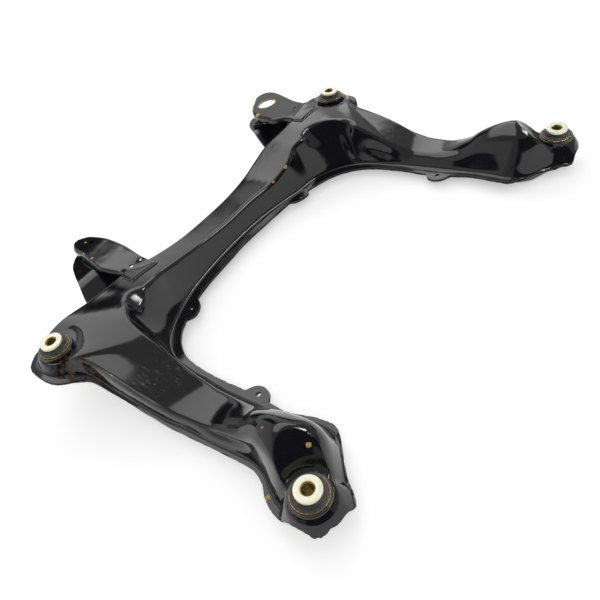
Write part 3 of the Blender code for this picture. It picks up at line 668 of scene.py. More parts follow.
def lower_grid(seam):
    """Inside of the lower shell: the same flange one seam lower, then down to a belly."""
    count, straight, arcs = LOWER_GRID
    rows = row_parameters(count)
    rails = uneven_edges(add_lugs(full_rails(rows)), rows + LOWER_WAVE_SHIFT, LOWER_WAVE)
    along = np.gradient(rails, axis=0)
    steepness = np.abs(along[..., 2]) / np.maximum(np.hypot(along[..., 0], along[..., 1]), 1e-6)
    steepness[:, :4] = 0
    steepness[:, 4] = steepness[:, 5]
    rails[..., 2] -= seam * (1 + STEEP_SEAM * np.minimum(steepness, 1))
    width = (rails[:, 4] - rails[:, 1]) * (1, 1, 0)
    length = np.linalg.norm(width, axis=1, keepdims=True)
    inset = width / length * np.minimum(BELLY_INSET, BELLY_SHARE * length)
    depth = BELLY_DEPTH * np.clip((MIDDLE - np.abs(rows) - 1) / FRONT_END_SECTIONS, 0, 1)
    lowered = np.stack([rails[:, 0], rails[:, 1], rails[:, 1] + inset,
                        rails[:, 4] - inset, rails[:, 4], rails[:, 5]], axis=1)
    lowered[:, 2:4, 2] -= depth[:, None]
    grid = across(lowered, (BELLY_FILLET,) * 4, straight, arcs)
    below = seam + SEAT_CLEARANCE
    return scalloped(kept_inside(seat_shape(grid, FRONT_MOUNT, FRONT_HOLLOW_SLOPE, below)))


# Meshes


def grid_quads(rows, columns):
    """Quads of a grid whose points are numbered row by row."""
    index = np.arange(rows * columns).reshape(rows, columns)
    quads = np.stack([index[:-1, :-1], index[1:, :-1], index[1:, 1:], index[:-1, 1:]], axis=-1)
    return quads.reshape(-1, 4)


def bore_distance(points, place, direction):
    """Distance of points from a hole's axis, and the way straight out from it."""
    arm = points - np.array(place)
    radial = arm - (arm @ direction)[..., None] * direction
    away = np.linalg.norm(radial, axis=-1)
    return away, radial / np.maximum(away, 1e-6)[..., None]


def sheet_points(grid, thickness, holes=(), blur=4):
    """A closed pressed sheet: points and quads of its top, its bottom and a rounded edge.

    The bottom is the top moved square to it by the thickness.  A hole, given by a place,
    a direction and a radius, takes out the quads inside the radius and moves the points
    that are left there out to it.  The edge has a middle ring that stands out by a sixth
    of the thickness.
    """
    normals = grid_normals(grid, blur).reshape(-1, 3)
    top = grid.reshape(-1, 3)
    bottom = top - normals * thickness
    quads = grid_quads(*grid.shape[:2])
    for place, direction, radius in holes:
        inside = bore_distance(top, place, direction)[0] < radius
        quads = quads[~inside[quads].all(axis=1)]
    used, quads = np.unique(quads, return_inverse=True)
    quads = quads.reshape(-1, 4)
    count = len(used)
    points = np.concatenate([top[used], bottom[used]])
    for place, direction, radius in holes:
        away, outward = bore_distance(points, place, direction)
        points += outward * np.maximum(radius - away, 0)[:, None]
    edges = np.concatenate([quads[:, [k, (k + 1) % 4]] for k in range(4)])
    key = edges[:, 0] * count + edges[:, 1]
    back = edges[:, 1] * count + edges[:, 0]
    rim = edges[~np.isin(key, back)]
    tangent = points[rim[:, 1]] - points[rim[:, 0]]
    outward = np.zeros((count, 3))
    lift = points[:count] - points[count:]
    for end in (0, 1):
        np.add.at(outward, rim[:, end], unit(np.cross(tangent, lift[rim[:, end]])))
    ring = np.unique(rim)
    number = np.zeros(count, dtype=int)
    number[ring] = np.arange(len(ring)) + 2 * count
    middle = (points[ring] + points[ring + count]) / 2 + unit(outward[ring]) * thickness / 6
    points = np.concatenate([points, middle])
    start, end = rim.T
    upper_wall = np.stack([end, start, number[start], number[end]], axis=1)
    lower_wall = np.stack([number[end], number[start], start + count, end + count], axis=1)
    faces = np.concatenate([quads, quads[:, ::-1] + count, upper_wall, lower_wall])
    return points, faces.tolist()


def turned_points(profile, centre, steps=TURN_STEPS, axis=AXIS):
    """A closed profile of (radius, height) turned about an axis: (r cos t, r sin t, h).

    A radius is one number, or an array with a value for each step of the turn.
    """
    radii = np.array([np.broadcast_to(radius, steps) for radius, _ in profile])
    heights = np.array([height for _, height in profile])
    angles = np.arange(steps) * 2 * math.pi / steps
    sideways = np.array((1.0, 0.0, 0.0))
    forward = unit(np.cross(axis, sideways))
    ring = np.cos(angles)[:, None] * sideways + np.sin(angles)[:, None] * forward
    points = radii[:, :, None] * ring + heights[:, None, None] * axis
    index = np.arange(points.shape[0] * steps).reshape(-1, steps)
    after = np.roll(index, -1, axis=1)
    quads = np.stack([index, after, np.roll(after, -1, axis=0), np.roll(index, -1, axis=0)],
                     axis=-1)
    return points.reshape(-1, 3) + np.array(centre), quads.reshape(-1, 4).tolist()


def tube_points(centres, radii, sides=12):
    """A tube with closed ends: circles of the given radii, square to a line of centres."""
    along = unit(np.gradient(centres, axis=0))
    side = unit(np.cross(along, (0.0, 0.0, 1.0)))
    up = np.cross(side, along)
    turn = np.arange(sides) * 2 * math.pi / sides
    ring = np.cos(turn)[None, :, None] * side[:, None] + np.sin(turn)[None, :, None] * up[:, None]
    points = centres[:, None] + ring * radii[:, None, None]
    index = np.arange(points.shape[0] * sides).reshape(-1, sides)
    after = np.roll(index, -1, axis=1)
    quads = np.stack([index[:-1], index[1:], after[1:], after[:-1]], axis=-1).reshape(-1, 4)
    return points.reshape(-1, 3), [*quads.tolist(), index[0].tolist(), index[-1, ::-1].tolist()]


def shown(name, data):
    """A new object of some data, in the scene."""
    made = bpy.data.objects.new(name, data)
    bpy.context.scene.collection.objects.link(made)
    return made


def face_values(mesh, name, width):
    """A value of each face of a mesh, as an array (faces, width)."""
    values = np.empty(len(mesh.polygons) * width)
    mesh.polygons.foreach_get(name, values)
    return values.reshape(-1, width)


def piece(name, points, faces, finish, slot, replaced=()):
    """A finished piece at the origin, its place in its mesh, riding on the body.

    Its faces are turned out if its volume, a third of the sum of n . c * area, is negative.
    """
    mesh = bpy.data.meshes.new(name)
    mesh.from_pydata((points * MM + SHIFT).tolist(), [], faces)
    outward = (face_values(mesh, "normal", 3) * face_values(mesh, "center", 3)).sum(axis=1)
    if outward @ face_values(mesh, "area", 1) < 0:
        mesh.flip_normals()
    mesh.shade_smooth()
    mesh.set_sharp_from_angle(angle=SHARP_ANGLE)
    mesh.materials.append(finish)
    made = shown(name, mesh)
    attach(made, BODY)
    for node in replaced:
        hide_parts(node)


# Finishes


class Wire:
    """A socket of a node tree; arithmetic on it adds Math nodes."""

    def __init__(self, nodes, socket):
        self.nodes = nodes
        self.socket = socket

    def _math(self, operation, *values):
        return self.nodes.node("ShaderNodeMath", {"operation": operation}, dict(enumerate(values)))

    def __add__(self, other):
        return self._math("ADD", self, other)

    __radd__ = __add__

    def __sub__(self, other):
        return self._math("SUBTRACT", self, other)

    def __rsub__(self, other):
        return self._math("SUBTRACT", other, self)

    def __mul__(self, other):
        return self._math("MULTIPLY", self, other)

    __rmul__ = __mul__

    def __truediv__(self, other):
        return self._math("DIVIDE", self, other)

    def larger(self, other):
        """The larger of two values."""
        return self._math("MAXIMUM", self, other)

    def angle_from(self, other):
        """The angle whose tangent is this value over the other, in degrees."""
        return self._math("ARCTAN2", self, other) * math.degrees(1)

    def between(self, low, high):
        """0 below low, 1 above high, and smooth between; low may be the larger."""
        return self.nodes.node("ShaderNodeMapRange", {"interpolation_type": "SMOOTHSTEP"},
                               {"Value": self, "From Min": low, "From Max": high})


class Nodes:
    """A node tree under construction."""

    def __init__(self, tree):
        self.tree = tree

    def node(self, kind, settings, values, output=0):
        """Add a node: settings first, then the values or wires of its sockets; one output."""
        made = self.tree.nodes.new(kind)
        for name, value in settings.items():
            setattr(made, name, value)
        for key, value in values.items():
            self.join(made.inputs[key], value)
        return Wire(self, made.outputs[output])

    def join(self, socket, value):
        """Set a socket to a value, or link a wire to it."""
        if isinstance(value, Wire):
            self.tree.links.new(value.socket, socket)
        else:
            socket.default_value = value


class Finish(Nodes):
    """A material under construction."""

    def __init__(self, name, colour, roughness, metallic=0.0):
        self.material = bpy.data.materials.new(name)
        self.material.use_nodes = True
        super().__init__(self.material.node_tree)
        self.shader = self.tree.nodes["Principled BSDF"]
        self.shader.inputs["Base Color"].default_value = (*colour, 1.0)
        self.shader.inputs["Roughness"].default_value = roughness
        self.shader.inputs["Metallic"].default_value = metallic
        self.place = self.node("ShaderNodeTexCoord", {}, {}, "Object")

    def give(self, name, value):
        """Set or link one of the shader's own sockets."""
        self.join(self.shader.inputs[name], value)

    def noise(self, size, detail=2.0, roughness=0.5, stretch=None):
        """Noise from 0 to 1 with features of a size in millimetres, stretched if asked."""
        place = self.place
        if stretch:
            place = self.node("ShaderNodeMapping", {}, {"Vector": place, "Rotation": stretch[0],
                                                        "Scale": stretch[1]}, "Vector")
        values = {"Vector": place, "Scale": 1 / (size * MM), "Detail": detail,
                  "Roughness": roughness}
        return self.node("ShaderNodeTexNoise", {}, values, "Fac")

    def near(self, point, radius, edge):
        """1 inside a ball about a point of the drawing, falling to 0 over the edge's width."""
        centre = tuple(np.array(point) * MM + SHIFT)
        away = self.node("ShaderNodeVectorMath", {"operation": "DISTANCE"},
                         {0: self.place, 1: centre}, "Value")
        return away.between((radius + edge) * MM, radius * MM)

    def blend(self, mask, first, second):
        """Mix two colours by a mask, on the colour sockets of a Mix node."""
        made = self.node("ShaderNodeMix", {"data_type": "RGBA"}, {"Factor": mask})
        mixer = made.socket.node
        sockets = [socket for socket in mixer.inputs if socket.type == "RGBA"]
        for socket, colour in zip(sockets, (first, second)):
            self.join(socket, colour if isinstance(colour, Wire) else (*colour, 1.0))
        return Wire(self, next(socket for socket in mixer.outputs if socket.type == "RGBA"))

    def relief(self, height, distance, strength=1.0, normal=None):
        """Bump of a height of 0 to 1, distance in millimetres."""
        values = {"Height": height, "Distance": distance * MM, "Strength": strength}
        if normal is not None:
            values["Normal"] = normal
        return self.node("ShaderNodeBump", {}, values, "Normal")


# Paint chips on the shells and horns: place, radius
CHIPS = (
    ((190, -35, 83), 5.5), ((150, -24, 68), 4.5), ((-404, -458, 98), 3.2),
    ((-391, -527, 80), 4.6), ((-461, -480, 15), 4.5), ((-472, -554, 20), 4.0),
    ((404, -512, 72), 3.0), ((352, -421, 12), 4.0), ((-434, -128, 84), 2.2),
    ((418, -330, 40), 3.5), ((-452, -250, 14), 3.0),
)
HORN_CHIPS = (
    ((-245, 186, 124), 3.5), ((-246, 150, 121), 3.0), ((-214, 216, 124), 2.5),
    ((330, 150, 125), 6.0), ((352, 190, 124), 6.5), ((380, 206, 127), 5.0),
)
# Streaks of painted sheen on the shells, lighter and rougher: place, radius, soft edge and the
# part of the streaks that shows, and the rusty apron in front of the left rear bush
SHEEN_STREAKS = (((-392, -190, 62), 26, 45, (0.54, 0.72)), ((352, -190, 66), 30, 40, (0.56, 0.74)))
APRON = ((-455, -50, 84), 26, 30)


def coat_finish(settings, name, chips, worn_rings=()):
    """Black dip coat: glossy with a faint orange peel, slow waves, dust, streaks of painted sheen
    and paint chips.
    """
    coat = Finish(name, settings.coat, 0.15)
    patches = coat.noise(60, detail=3.0)
    cloud = coat.noise(9, detail=5.0, roughness=0.62)
    specks = coat.noise(1.6, detail=1.0)
    streaks = coat.noise(5, detail=4.0, roughness=0.65,
                         stretch=((0.0, 0.0, 0.6), (1.0, 0.16, 1.0)))
    # Painted sheen: lighter, rougher streaks in set places on the arms, standing in for the coat's
    # reflections
    sheen_streaks = reduce(Wire.larger, (coat.near(place, radius, edge) * streaks.between(*part)
                                   for place, radius, edge, part in SHEEN_STREAKS))
    dusty = specks.between(0.735, 0.80) * patches.between(0.40, 0.60)
    apron = coat.near(*APRON) * cloud.between(0.40, 0.66)
    ragged = coat.noise(4.5, detail=6.0, roughness=0.75)
    bared = [coat.near(point, radius * 0.3, radius * 1.5) * 1.5 - ragged * 1.35
             for point, radius in chips]
    for (x, y), radius in worn_rings:
        flat = coat.node("ShaderNodeVectorMath", {"operation": "MULTIPLY_ADD"},
                         {0: coat.place, 1: (1.0, 1.0, 0.0), 2: (-x * MM, -y * MM - SHIFT[1], 0.0)})
        away = coat.node("ShaderNodeVectorMath", {"operation": "LENGTH"}, {0: flat}, "Value")
        worn = away.between((radius + 6) * MM, radius * MM)
        bared.append(worn * 1.15 - coat.noise(14, 3.0) * 1.35)
    chipped = reduce(Wire.larger, bared).between(0.08, 0.16)
    # The specks are dust; the sheen streaks paint a lighter sheen into the colour
    tone = coat.blend(dusty * 0.30 + sheen_streaks * 0.16, settings.coat, settings.dust)
    tone = coat.blend(apron * 0.30, tone, (0.16, 0.10, 0.06))
    bare = coat.blend(cloud.between(0.35, 0.65), settings.plating, (0.25, 0.13, 0.05))
    coat.give("Base Color", coat.blend(chipped, tone, bare))
    rough = 0.075 + patches.between(0.30, 0.72) * 0.07 + sheen_streaks * 0.22 + apron * 0.25
    coat.give("Roughness", rough + chipped * 0.35)
    waves = coat.relief(coat.noise(34, detail=1.0), 0.35)
    peel = coat.relief(coat.noise(2.2, detail=2.0), 0.010, normal=waves)
    coat.give("Normal", coat.relief(1 - chipped, 0.06, normal=peel))
    return coat.material


def ivory_finish(settings):
    """Pale plated core: fine turning marks and yellow-brown handling stains."""
    core = Finish("pale core", settings.ivory, 0.34, metallic=0.15)
    stain = core.noise(7, detail=4.0).between(0.52, 0.78)
    fine = core.noise(0.7, detail=3.0)
    core.give("Base Color", core.blend(stain * 0.45, settings.ivory, (0.55, 0.46, 0.22)))
    core.give("Roughness", 0.28 + stain * 0.2 + fine * 0.1)
    core.give("Normal", core.relief(fine, 0.02))
    return core.material


def plating_finish(settings):
    """Yellow zinc plating with darker, oily patches."""
    plate = Finish("yellow plating", settings.plating, 0.30, metallic=0.85)
    patch = plate.noise(4, detail=4.0).between(0.45, 0.70)
    plate.give("Base Color", plate.blend(patch, settings.plating, (0.16, 0.10, 0.04)))
    plate.give("Roughness", 0.25 + patch * 0.3)
    plate.give("Normal", plate.relief(plate.noise(0.8, 2.0), 0.015))
    return plate.material


def rubber_finish(settings):
    """Matt rubber with a dusty bloom and a fine grain."""
    rubber = Finish("bush rubber", settings.rubber, 0.62)
    bloom = rubber.noise(8, detail=4.0).between(0.40, 0.75)
    grain = rubber.noise(0.5, detail=2.0)
    rubber.give("Base Color", rubber.blend(bloom * 0.25, settings.rubber, settings.dust))
    rubber.give("Roughness", 0.50 + bloom * 0.2)
    rubber.give("Normal", rubber.relief(grain, 0.05))
    return rubber.material


def bead_finish(settings):
    """Black-coated weld bead: dull, lumpy and slightly dusty."""
    bead = Finish("coated weld", settings.coat, 0.3)
    lumps = bead.noise(1.8, detail=3.0)
    dust = bead.noise(3.0, detail=3.0).between(0.50, 0.75)
    bead.give("Base Color", bead.blend(dust * 0.22, settings.coat, settings.dust))
    bead.give("Roughness", 0.22 + dust * 0.25)
    bead.give("Normal", bead.relief(lumps, 0.25))
    return bead.material


def kept_finish(name, make, *details):
    """The finish of that name, made the first time it is asked for."""
    found = bpy.data.materials.get(name)
    return found or make(bpy.context.scene.subframe_finish, *details)


def shell_coat():
    """Coat of the shells and the housings."""
    return kept_finish("shell coat", coat_finish, "shell coat", CHIPS)


def horn_coat():
    """Coat of the horns: chipped at the edges, worn round the large hole."""
    worn = (RIGHT_BOLT, RIGHT_BOLT_HOLE)
    return kept_finish("horn coat", coat_finish, "horn coat", HORN_CHIPS, (worn,))


# Operators


def bush_holes(room):
    """The round openings of a shell for the bush housings, with some room round them."""
    radius = SLEEVE_RADIUS + FIT_GAP + HOUSING_WALL + room
    return [(centre, AXIS, radius) for _, centre in BUSHES]


def lug_holes():
    """The holes of the four lugs."""
    return [((x, y, 0.0), UPRIGHT, LUG_HOLE) for x, y in LUGS]


class SUBFRAME_OT_pressings(Operator):
    """Build the upper and lower shells"""

    bl_idname = "subframe.pressings"
    bl_label = "Shells"

    def execute(self, context):
        sizes = context.scene.subframe_pressing
        drains = [((side * x, y, 0.0), UPRIGHT, DRAIN_RADIUS)
                  for x, y in DRAINS for side in ((-1, 1) if x else (1,))]
        for name, grid, holes in (
                ("upper", upper_grid(), bush_holes(UPPER_ROOM) + lug_holes()),
                ("lower", lower_grid(sizes.seam), bush_holes(LOWER_ROOM) + lug_holes() + drains)):
            points, faces = sheet_points(grid, sizes.sheet, holes)
            piece(name + "_pressing", points, faces, shell_coat(), "black_coat", (name + "_shell",))
        return {"FINISHED"}


def rounded(corners, reach, steps=4):
    """A closed profile with each corner (radius, height, share) rounded by share * reach."""
    table = np.array([corner[:2] for corner in corners], dtype=float)
    shares = [corner[2] for corner in corners]
    outline = []
    for i, (corner, share) in enumerate(zip(table, shares)):
        if not share:
            outline.append(corner)
            continue
        enter = corner + unit(table[i - 1] - corner) * share * reach
        leave = corner + unit(table[(i + 1) % len(table)] - corner) * share * reach
        for w in np.linspace(0, 1, steps):
            outline.append(enter * (1 - w) ** 2 + corner * 2 * w * (1 - w) + leave * w ** 2)
    return outline


def bush_profiles():
    """Profile of each piece of a bush: (radius, height over the disc's top), corners rounded."""
    bottom = -SLEEVE_DROP - SLEEVE_LENGTH
    neck_top = -DISC_THICKNESS
    hole = LINER_RADIUS + FIT_GAP
    core = ((hole, bottom, 0), (CORE_NECK, bottom, 0), (CORE_NECK, neck_top, 0),
            (DISC_RADIUS, neck_top, 1), (DISC_RADIUS, 0.0, 1), (hole, 0.0, 0.6))
    liner = ((CORE_BORE, bottom, 0), (LINER_RADIUS, bottom, 0), (LINER_RADIUS, -0.5, 0.6),
             (LINER_RADIUS - 0.5, -0.5, 0.3), (CORE_BORE, -2.6, 1))
    bore = SLEEVE_RADIUS - SLEEVE_WALL
    sleeve = ((bore, bottom, 0), (SLEEVE_RADIUS, bottom, 0), (SLEEVE_RADIUS, -SLEEVE_DROP, 1),
              (bore, -SLEEVE_DROP, 1))
    inside = SLEEVE_RADIUS + FIT_GAP
    collar = inside + HOUSING_WALL
    top = -SLEEVE_DROP - HOUSING_DROP
    housing = ((inside, bottom, 0), (collar, bottom, 1), (collar, top, 1), (inside, top, 0.5))
    outside = bore - FIT_GAP
    neck = CORE_NECK + FIT_GAP
    lap = SLEEVE_RADIUS - 0.7
    rim = -SLEEVE_DROP + FIT_GAP
    step = -SLEEVE_DROP + 2.0
    rubber = (
        (neck, bottom + 1.2, 0), (outside, bottom + 1.2, 0),
        # lap over the sleeve's rim
        (outside, rim, 0), (lap, rim, 0.5), (lap - 0.3, rim + 1.1, 0.7),
        # step, then the lip under the disc
        (outside - 2.4, step, 1), (DISC_RADIUS + 2.0, step + 0.4, 1),
        (DISC_RADIUS + 1.4, neck_top - 3.4, 1), (DISC_RADIUS - 1.4, neck_top - 3.0, 1),
        (DISC_RADIUS - 1.0, neck_top - FIT_GAP, 1), (neck, neck_top - FIT_GAP, 0),
    )
    return (("core_", rounded(core, 0.9)), ("rubber_", rounded(rubber, 0.6)),
            ("sleeve_", rounded(sleeve, 0.6)), ("housing_", rounded(housing, 1.3)),
            ("liner_", rounded(liner, 0.5)))


class SUBFRAME_OT_bushes(Operator):
    """Build the core, liner, rubber, sleeve and housing of each bush"""

    bl_idname = "subframe.bushes"
    bl_label = "Bushes"

    def execute(self, context):
        ivory = kept_finish("pale core", ivory_finish), "pale_core"
        plating = kept_finish("yellow plating", plating_finish), "gold_plate"
        rubber = kept_finish("bush rubber", rubber_finish), "rubber"
        looks = (ivory, rubber, plating, (shell_coat(), "black_coat"), plating)
        for suffix, centre in BUSHES:
            for (name, profile), look in zip(bush_profiles(), looks):
                points, faces = turned_points(profile, centre)
                # The solids have no liner of their own
                replaced = () if name == "liner_" else (name + suffix,)
                piece("bush_" + name + suffix, points, faces, *look, replaced)
        return {"FINISHED"}


def plate_grid(stations, skirt, rows=14, columns=26):
    """Top of a horn plate: a smooth ribbon through its stations, its sides turned down.

    Across, the top is straight between two quarter bends, and below each bend a skirt
    hangs whose length grows along the plate.
    """
    table = np.array(stations, dtype=float)
    lines = smooth_through(table, np.linspace(0, len(table) - 1, rows * (len(table) - 1) + 1))
    left, right = lines[:, 0], lines[:, 1]
    if not skirt:
        steps = np.linspace(0, 1, columns)[None, :, None]
        return left[:, None] + (right - left)[:, None] * steps
    over = unit(right - left)
    station = np.arange(len(lines)) / rows
    run = np.clip(station / 2 - 1, 0, 1) * np.clip(len(table) - 1 - station, 0, 1)
    drop = (HORN_BEND + np.maximum(HORN_SKIRT_END, (skirt - HORN_BEND) * run))[:, None]
    bend = np.radians(np.linspace(0, 90, 8))
    hanging = np.linspace(0, 1, 6)[:-1]
    sides = []
    for edge, inward in ((left, over), (right, -over)):
        skirt_part = [edge - UPRIGHT * (drop + (HORN_BEND - drop) * w) for w in hanging]
        bend_part = [edge + inward * HORN_BEND * (1 - math.cos(a))
                     - UPRIGHT * HORN_BEND * (1 - math.sin(a)) for a in bend]
        sides.append(skirt_part + bend_part)
    start, end = sides[0][-1], sides[1][-1]
    flat = [start + (end - start) * w for w in np.linspace(0, 1, columns)[1:-1]]
    return np.stack(sides[0] + flat + sides[1][::-1], axis=1)


def heights_on(surface, x, y):
    """Height of a grid at plan points, and how far off its nearest point lies.

    The height is that of the tangent plane at the nearest point whose normal looks up.
    """
    normals = grid_normals(surface, blur=1).reshape(-1, 3)
    points = surface.reshape(-1, 3)
    low = np.array((x.min(), y.min())) - SURFACE_REACH
    high = np.array((x.max(), y.max())) + SURFACE_REACH
    useful = ((points[:, :2] > low) & (points[:, :2] < high)).all(axis=1)
    useful &= normals[:, 2] > LEAST_UPWARD
    points, normals = points[useful], normals[useful]
    apart = (x[:, None] - points[:, 0]) ** 2 + (y[:, None] - points[:, 1]) ** 2
    nearest = apart.argmin(axis=1)
    at, upward = points[nearest], normals[nearest]
    away = np.stack([x, y], axis=1) - at[:, :2]
    height = at[:, 2] - (away * upward[:, :2]).sum(axis=1) / upward[:, 2]
    return height, np.sqrt(apart.min(axis=1))


def lifted_above(grid, surface, gap):
    """Lift a plate to a gap above a surface: z + max(h + gap - z, 0), with a rounded corner."""
    points = grid.reshape(-1, 3).copy()
    height, off = heights_on(surface, points[:, 0], points[:, 1])
    lift = softly_above(height + gap - points[:, 2], PLATE_ROUNDING)
    points[:, 2] += np.where(off < SURFACE_REACH, lift, 0)
    return points.reshape(grid.shape)


class SUBFRAME_OT_horns(Operator):
    """Build the upper and lower plates of both horns"""

    bl_idname = "subframe.horns"
    bl_label = "Horns"

    def execute(self, context):
        sheet = context.scene.subframe_pressing.horn_sheet
        left_bore, right_bore = (LEFT_BOLT, LEFT_BOLT_HOLE), (RIGHT_BOLT, RIGHT_BOLT_HOLE)
        plates = (
            ("upper_left", LEFT_UPPER, HORN_SKIRT, (left_bore, (LEFT_TAB_HOLE, TAB_HOLE))),
            ("upper_right", RIGHT_UPPER, HORN_SKIRT, (right_bore, (RIGHT_TAB_HOLE, TAB_HOLE))),
            ("lower_left", LEFT_LOWER, 0.0, (left_bore,)),
            ("lower_right", RIGHT_LOWER, 0.0, ()),
        )
        for name, stations, skirt, bores in plates:
            grid = plate_grid(stations, skirt)
            if skirt:
                grid = lifted_above(grid, upper_grid(), sheet + PLATE_GAP)
            else:
                grid = grid[grid[:, :, 1].min(axis=1) > LOWER_PLATE_BEGIN]
            holes = [((*place, 0.0), UPRIGHT, radius) for place, radius in bores]
            points, faces = sheet_points(grid, sheet, holes, blur=2)
            piece("horn_plate_" + name, points, faces, horn_coat(), "black_coat", ("horn_" + name,))
        return {"FINISHED"}


def offset_path(points, distance):
    """A plan path moved sideways to its left by a distance."""
    points = np.array(points, dtype=float)
    runs = unit(np.diff(points, axis=0))
    sideways = np.stack([-runs[:, 1], runs[:, 0]], axis=1)
    at_start = np.vstack([sideways[:1], sideways])
    at_end = np.vstack([sideways, sideways[-1:]])
    mitre = unit(at_start + at_end)
    return points + mitre * distance / (mitre * at_end).sum(axis=1, keepdims=True)


def evenly(points, spacing):
    """Evenly spaced points along a path."""
    lengths = np.concatenate([[0], np.cumsum(np.linalg.norm(np.diff(points, axis=0), axis=1))])
    at = np.linspace(0, lengths[-1], max(int(lengths[-1] / spacing), 2) + 1)
    return np.stack([np.interp(at, lengths, points[:, k]) for k in range(points.shape[1])], axis=1)


def bead_points(path, surface, radius, sink):
    """A weld bead on a surface: a tube whose radius swells with ripples, |sin|, and slow waves."""
    line = evenly(path, BEAD_STEP)
    height, off = heights_on(surface, line[:, 0], line[:, 1])
    centres = np.column_stack([line, height - sink])[off < SURFACE_REACH]
    run = np.arange(len(centres)) * BEAD_STEP
    ripples = 0.16 * np.abs(np.sin(run / 2.4))
    waves = 0.07 * np.sin(run / 7.0) + 0.05 * np.sin(run / 3.1 + 1)
    return tube_points(centres, radius * (1 + ripples + waves))


class SUBFRAME_OT_welds(Operator):
    """Build the weld beads round the front tabs of the horns"""

    bl_idname = "subframe.welds"
    bl_label = "Welds"

    def execute(self, context):
        finish = kept_finish("coated weld", bead_finish)
        for side, stations in (("left", LEFT_UPPER), ("right", RIGHT_UPPER)):
            (left, right), (left_next, right_next) = stations[:2]
            edge = (left_next[:2], left[:2], right[:2], right_next[:2])
            path = offset_path(edge, -WELD_OUT * WELD_BEAD)
            points, faces = bead_points(path, upper_grid(), WELD_BEAD, WELD_SINK)
            piece("tab_weld_" + side, points, faces, finish, "weld_steel", ("weld_" + side,))
        return {"FINISHED"}


class SUBFRAME_OT_hardware(Operator):
    """Build the spacer of the left horn and the weld nut of the right one"""

    bl_idname = "subframe.hardware"
    bl_label = "Hardware"

    def execute(self, context):
        low = LEFT_LOWER[-1][0][2] + FIT_GAP
        height = LEFT_UPPER[-1][0][2] - HORN_SHEET_ROOM - FIT_GAP - low
        outside = LEFT_BOLT_HOLE + SPACER_WALL
        wall = rounded(((LEFT_BOLT_HOLE, 0.0, 0.5), (outside, 0.0, 1), (outside, height, 1),
                        (LEFT_BOLT_HOLE, height, 0.5)), 0.6)
        points, faces = turned_points(wall, (*LEFT_BOLT, low), SMALL_TURN_STEPS, UPRIGHT)
        piece("spacer_tube_left", points, faces, horn_coat(), "black_coat", ("spacer_left",))
        angles = np.arange(SMALL_TURN_STEPS) * 2 * math.pi / SMALL_TURN_STEPS
        flat, bore = NUT_ACROSS / 2, NUT_ACROSS / 4
        hexagon = flat / np.cos(angles % (math.pi / 3) - math.pi / 6)
        nut = ((bore, 0.0), (hexagon, 0.0), (hexagon, NUT_HEIGHT - NUT_CHAMFER),
               (np.minimum(hexagon, flat * NUT_TOP_SHARE), NUT_HEIGHT), (bore, NUT_HEIGHT))
        base = RIGHT_LOWER[-1][0][2] + FIT_GAP
        points, faces = turned_points(nut, (*WELD_NUT_PLACE, base), SMALL_TURN_STEPS, UPRIGHT)
        piece("weld_nut_top", points, faces, kept_finish("coated weld", bead_finish), "weld_steel",
              ("weld_nut_right",))
        return {"FINISHED"}


def plain_board(name, corners, colour, glow):
    """A flat board of the stage, with a white light of its own."""
    mesh = bpy.data.meshes.new(name)
    mesh.from_pydata(corners, [], [(0, 1, 2, 3)])
    paint = Finish(name, colour, 0.9)
    paint.give("Specular IOR Level", 0.0)
    paint.give("Emission Color", (1.0, 1.0, 1.0, 1.0))
    paint.give("Emission Strength", glow)
    mesh.materials.append(paint.material)
    shown(name, mesh)


def surround_paint(strip):
    """Glow of the reflection dome: a plain level with softly edged cards laid over it in turn."""
    paint = Finish("surround", (0.0, 0.0, 0.0), 1.0)
    paint.give("Specular IOR Level", 0.0)
    parts = paint.node("ShaderNodeSeparateXYZ", {}, {0: paint.place}, "X")
    x, y, z = (Wire(paint, parts.socket.node.outputs[axis]) for axis in "XYZ")
    flat = paint.node("ShaderNodeCombineXYZ", {}, {"X": x, "Y": y}, "Vector")
    length = paint.node("ShaderNodeVectorMath", {"operation": "LENGTH"}, {0: flat}, "Value")
    walls = (y.angle_from(x), z.angle_from(length))
    ceiling = (x / z, y / z)
    glow = DOME_LEVEL
    cards = [(walls, card) for card in WALL_CARDS]
    cards += [(ceiling, card) for card in CEILING_CARDS + ((*STRIP_CARD, strip),)]
    for (across_it, up_it), ((start, end), (low, high), edge, level) in cards:
        mask = (across_it.between(start, start + edge) * across_it.between(end, end - edge)
                * up_it.between(low, low + edge) * up_it.between(high, high - edge))
        glow = glow * (1 - mask) + mask * level
    paint.give("Emission Color", paint.node("ShaderNodeCombineColor", {},
                                            dict.fromkeys(("Red", "Green", "Blue"), glow), "Color"))
    paint.give("Emission Strength", 1.0)
    return paint.material


def reflection_dome(strip):
    """A half ball that only reflections see: R (cos a cos b, sin a cos b, sin b)."""
    turn = np.linspace(-np.pi, np.pi, 97)
    rise = np.linspace(-0.03, np.pi / 2, 33)
    a, b = np.meshgrid(turn, rise, indexing="ij")
    grid = DOME_RADIUS * np.stack([np.cos(a) * np.cos(b), np.sin(a) * np.cos(b), np.sin(b)],
                                  axis=-1)
    mesh = bpy.data.meshes.new("reflection_dome")
    quads = grid_quads(*grid.shape[:2])[:, ::-1]
    mesh.from_pydata(grid.reshape(-1, 3).tolist(), [], quads.tolist())
    mesh.shade_smooth()
    mesh.materials.append(surround_paint(strip))
    dome = shown("reflection_dome", mesh)
    dome.visible_camera = False
    dome.visible_diffuse = False
    dome.visible_shadow = False


def panel_lamp(name, place, target, size, radiance):
    """A rectangular lamp of a given radiance, facing a target."""
    light = bpy.data.lights.new(name, "AREA")
    light.shape = "RECTANGLE"
    light.size, light.size_y = size
    light.energy = radiance * math.pi * size[0] * size[1]
    lamp = shown(name, light)
    lamp.location = place
    lamp.rotation_euler = (Vector(target) - Vector(place)).to_track_quat("-Z", "Y").to_euler()
    lamp.visible_glossy = False


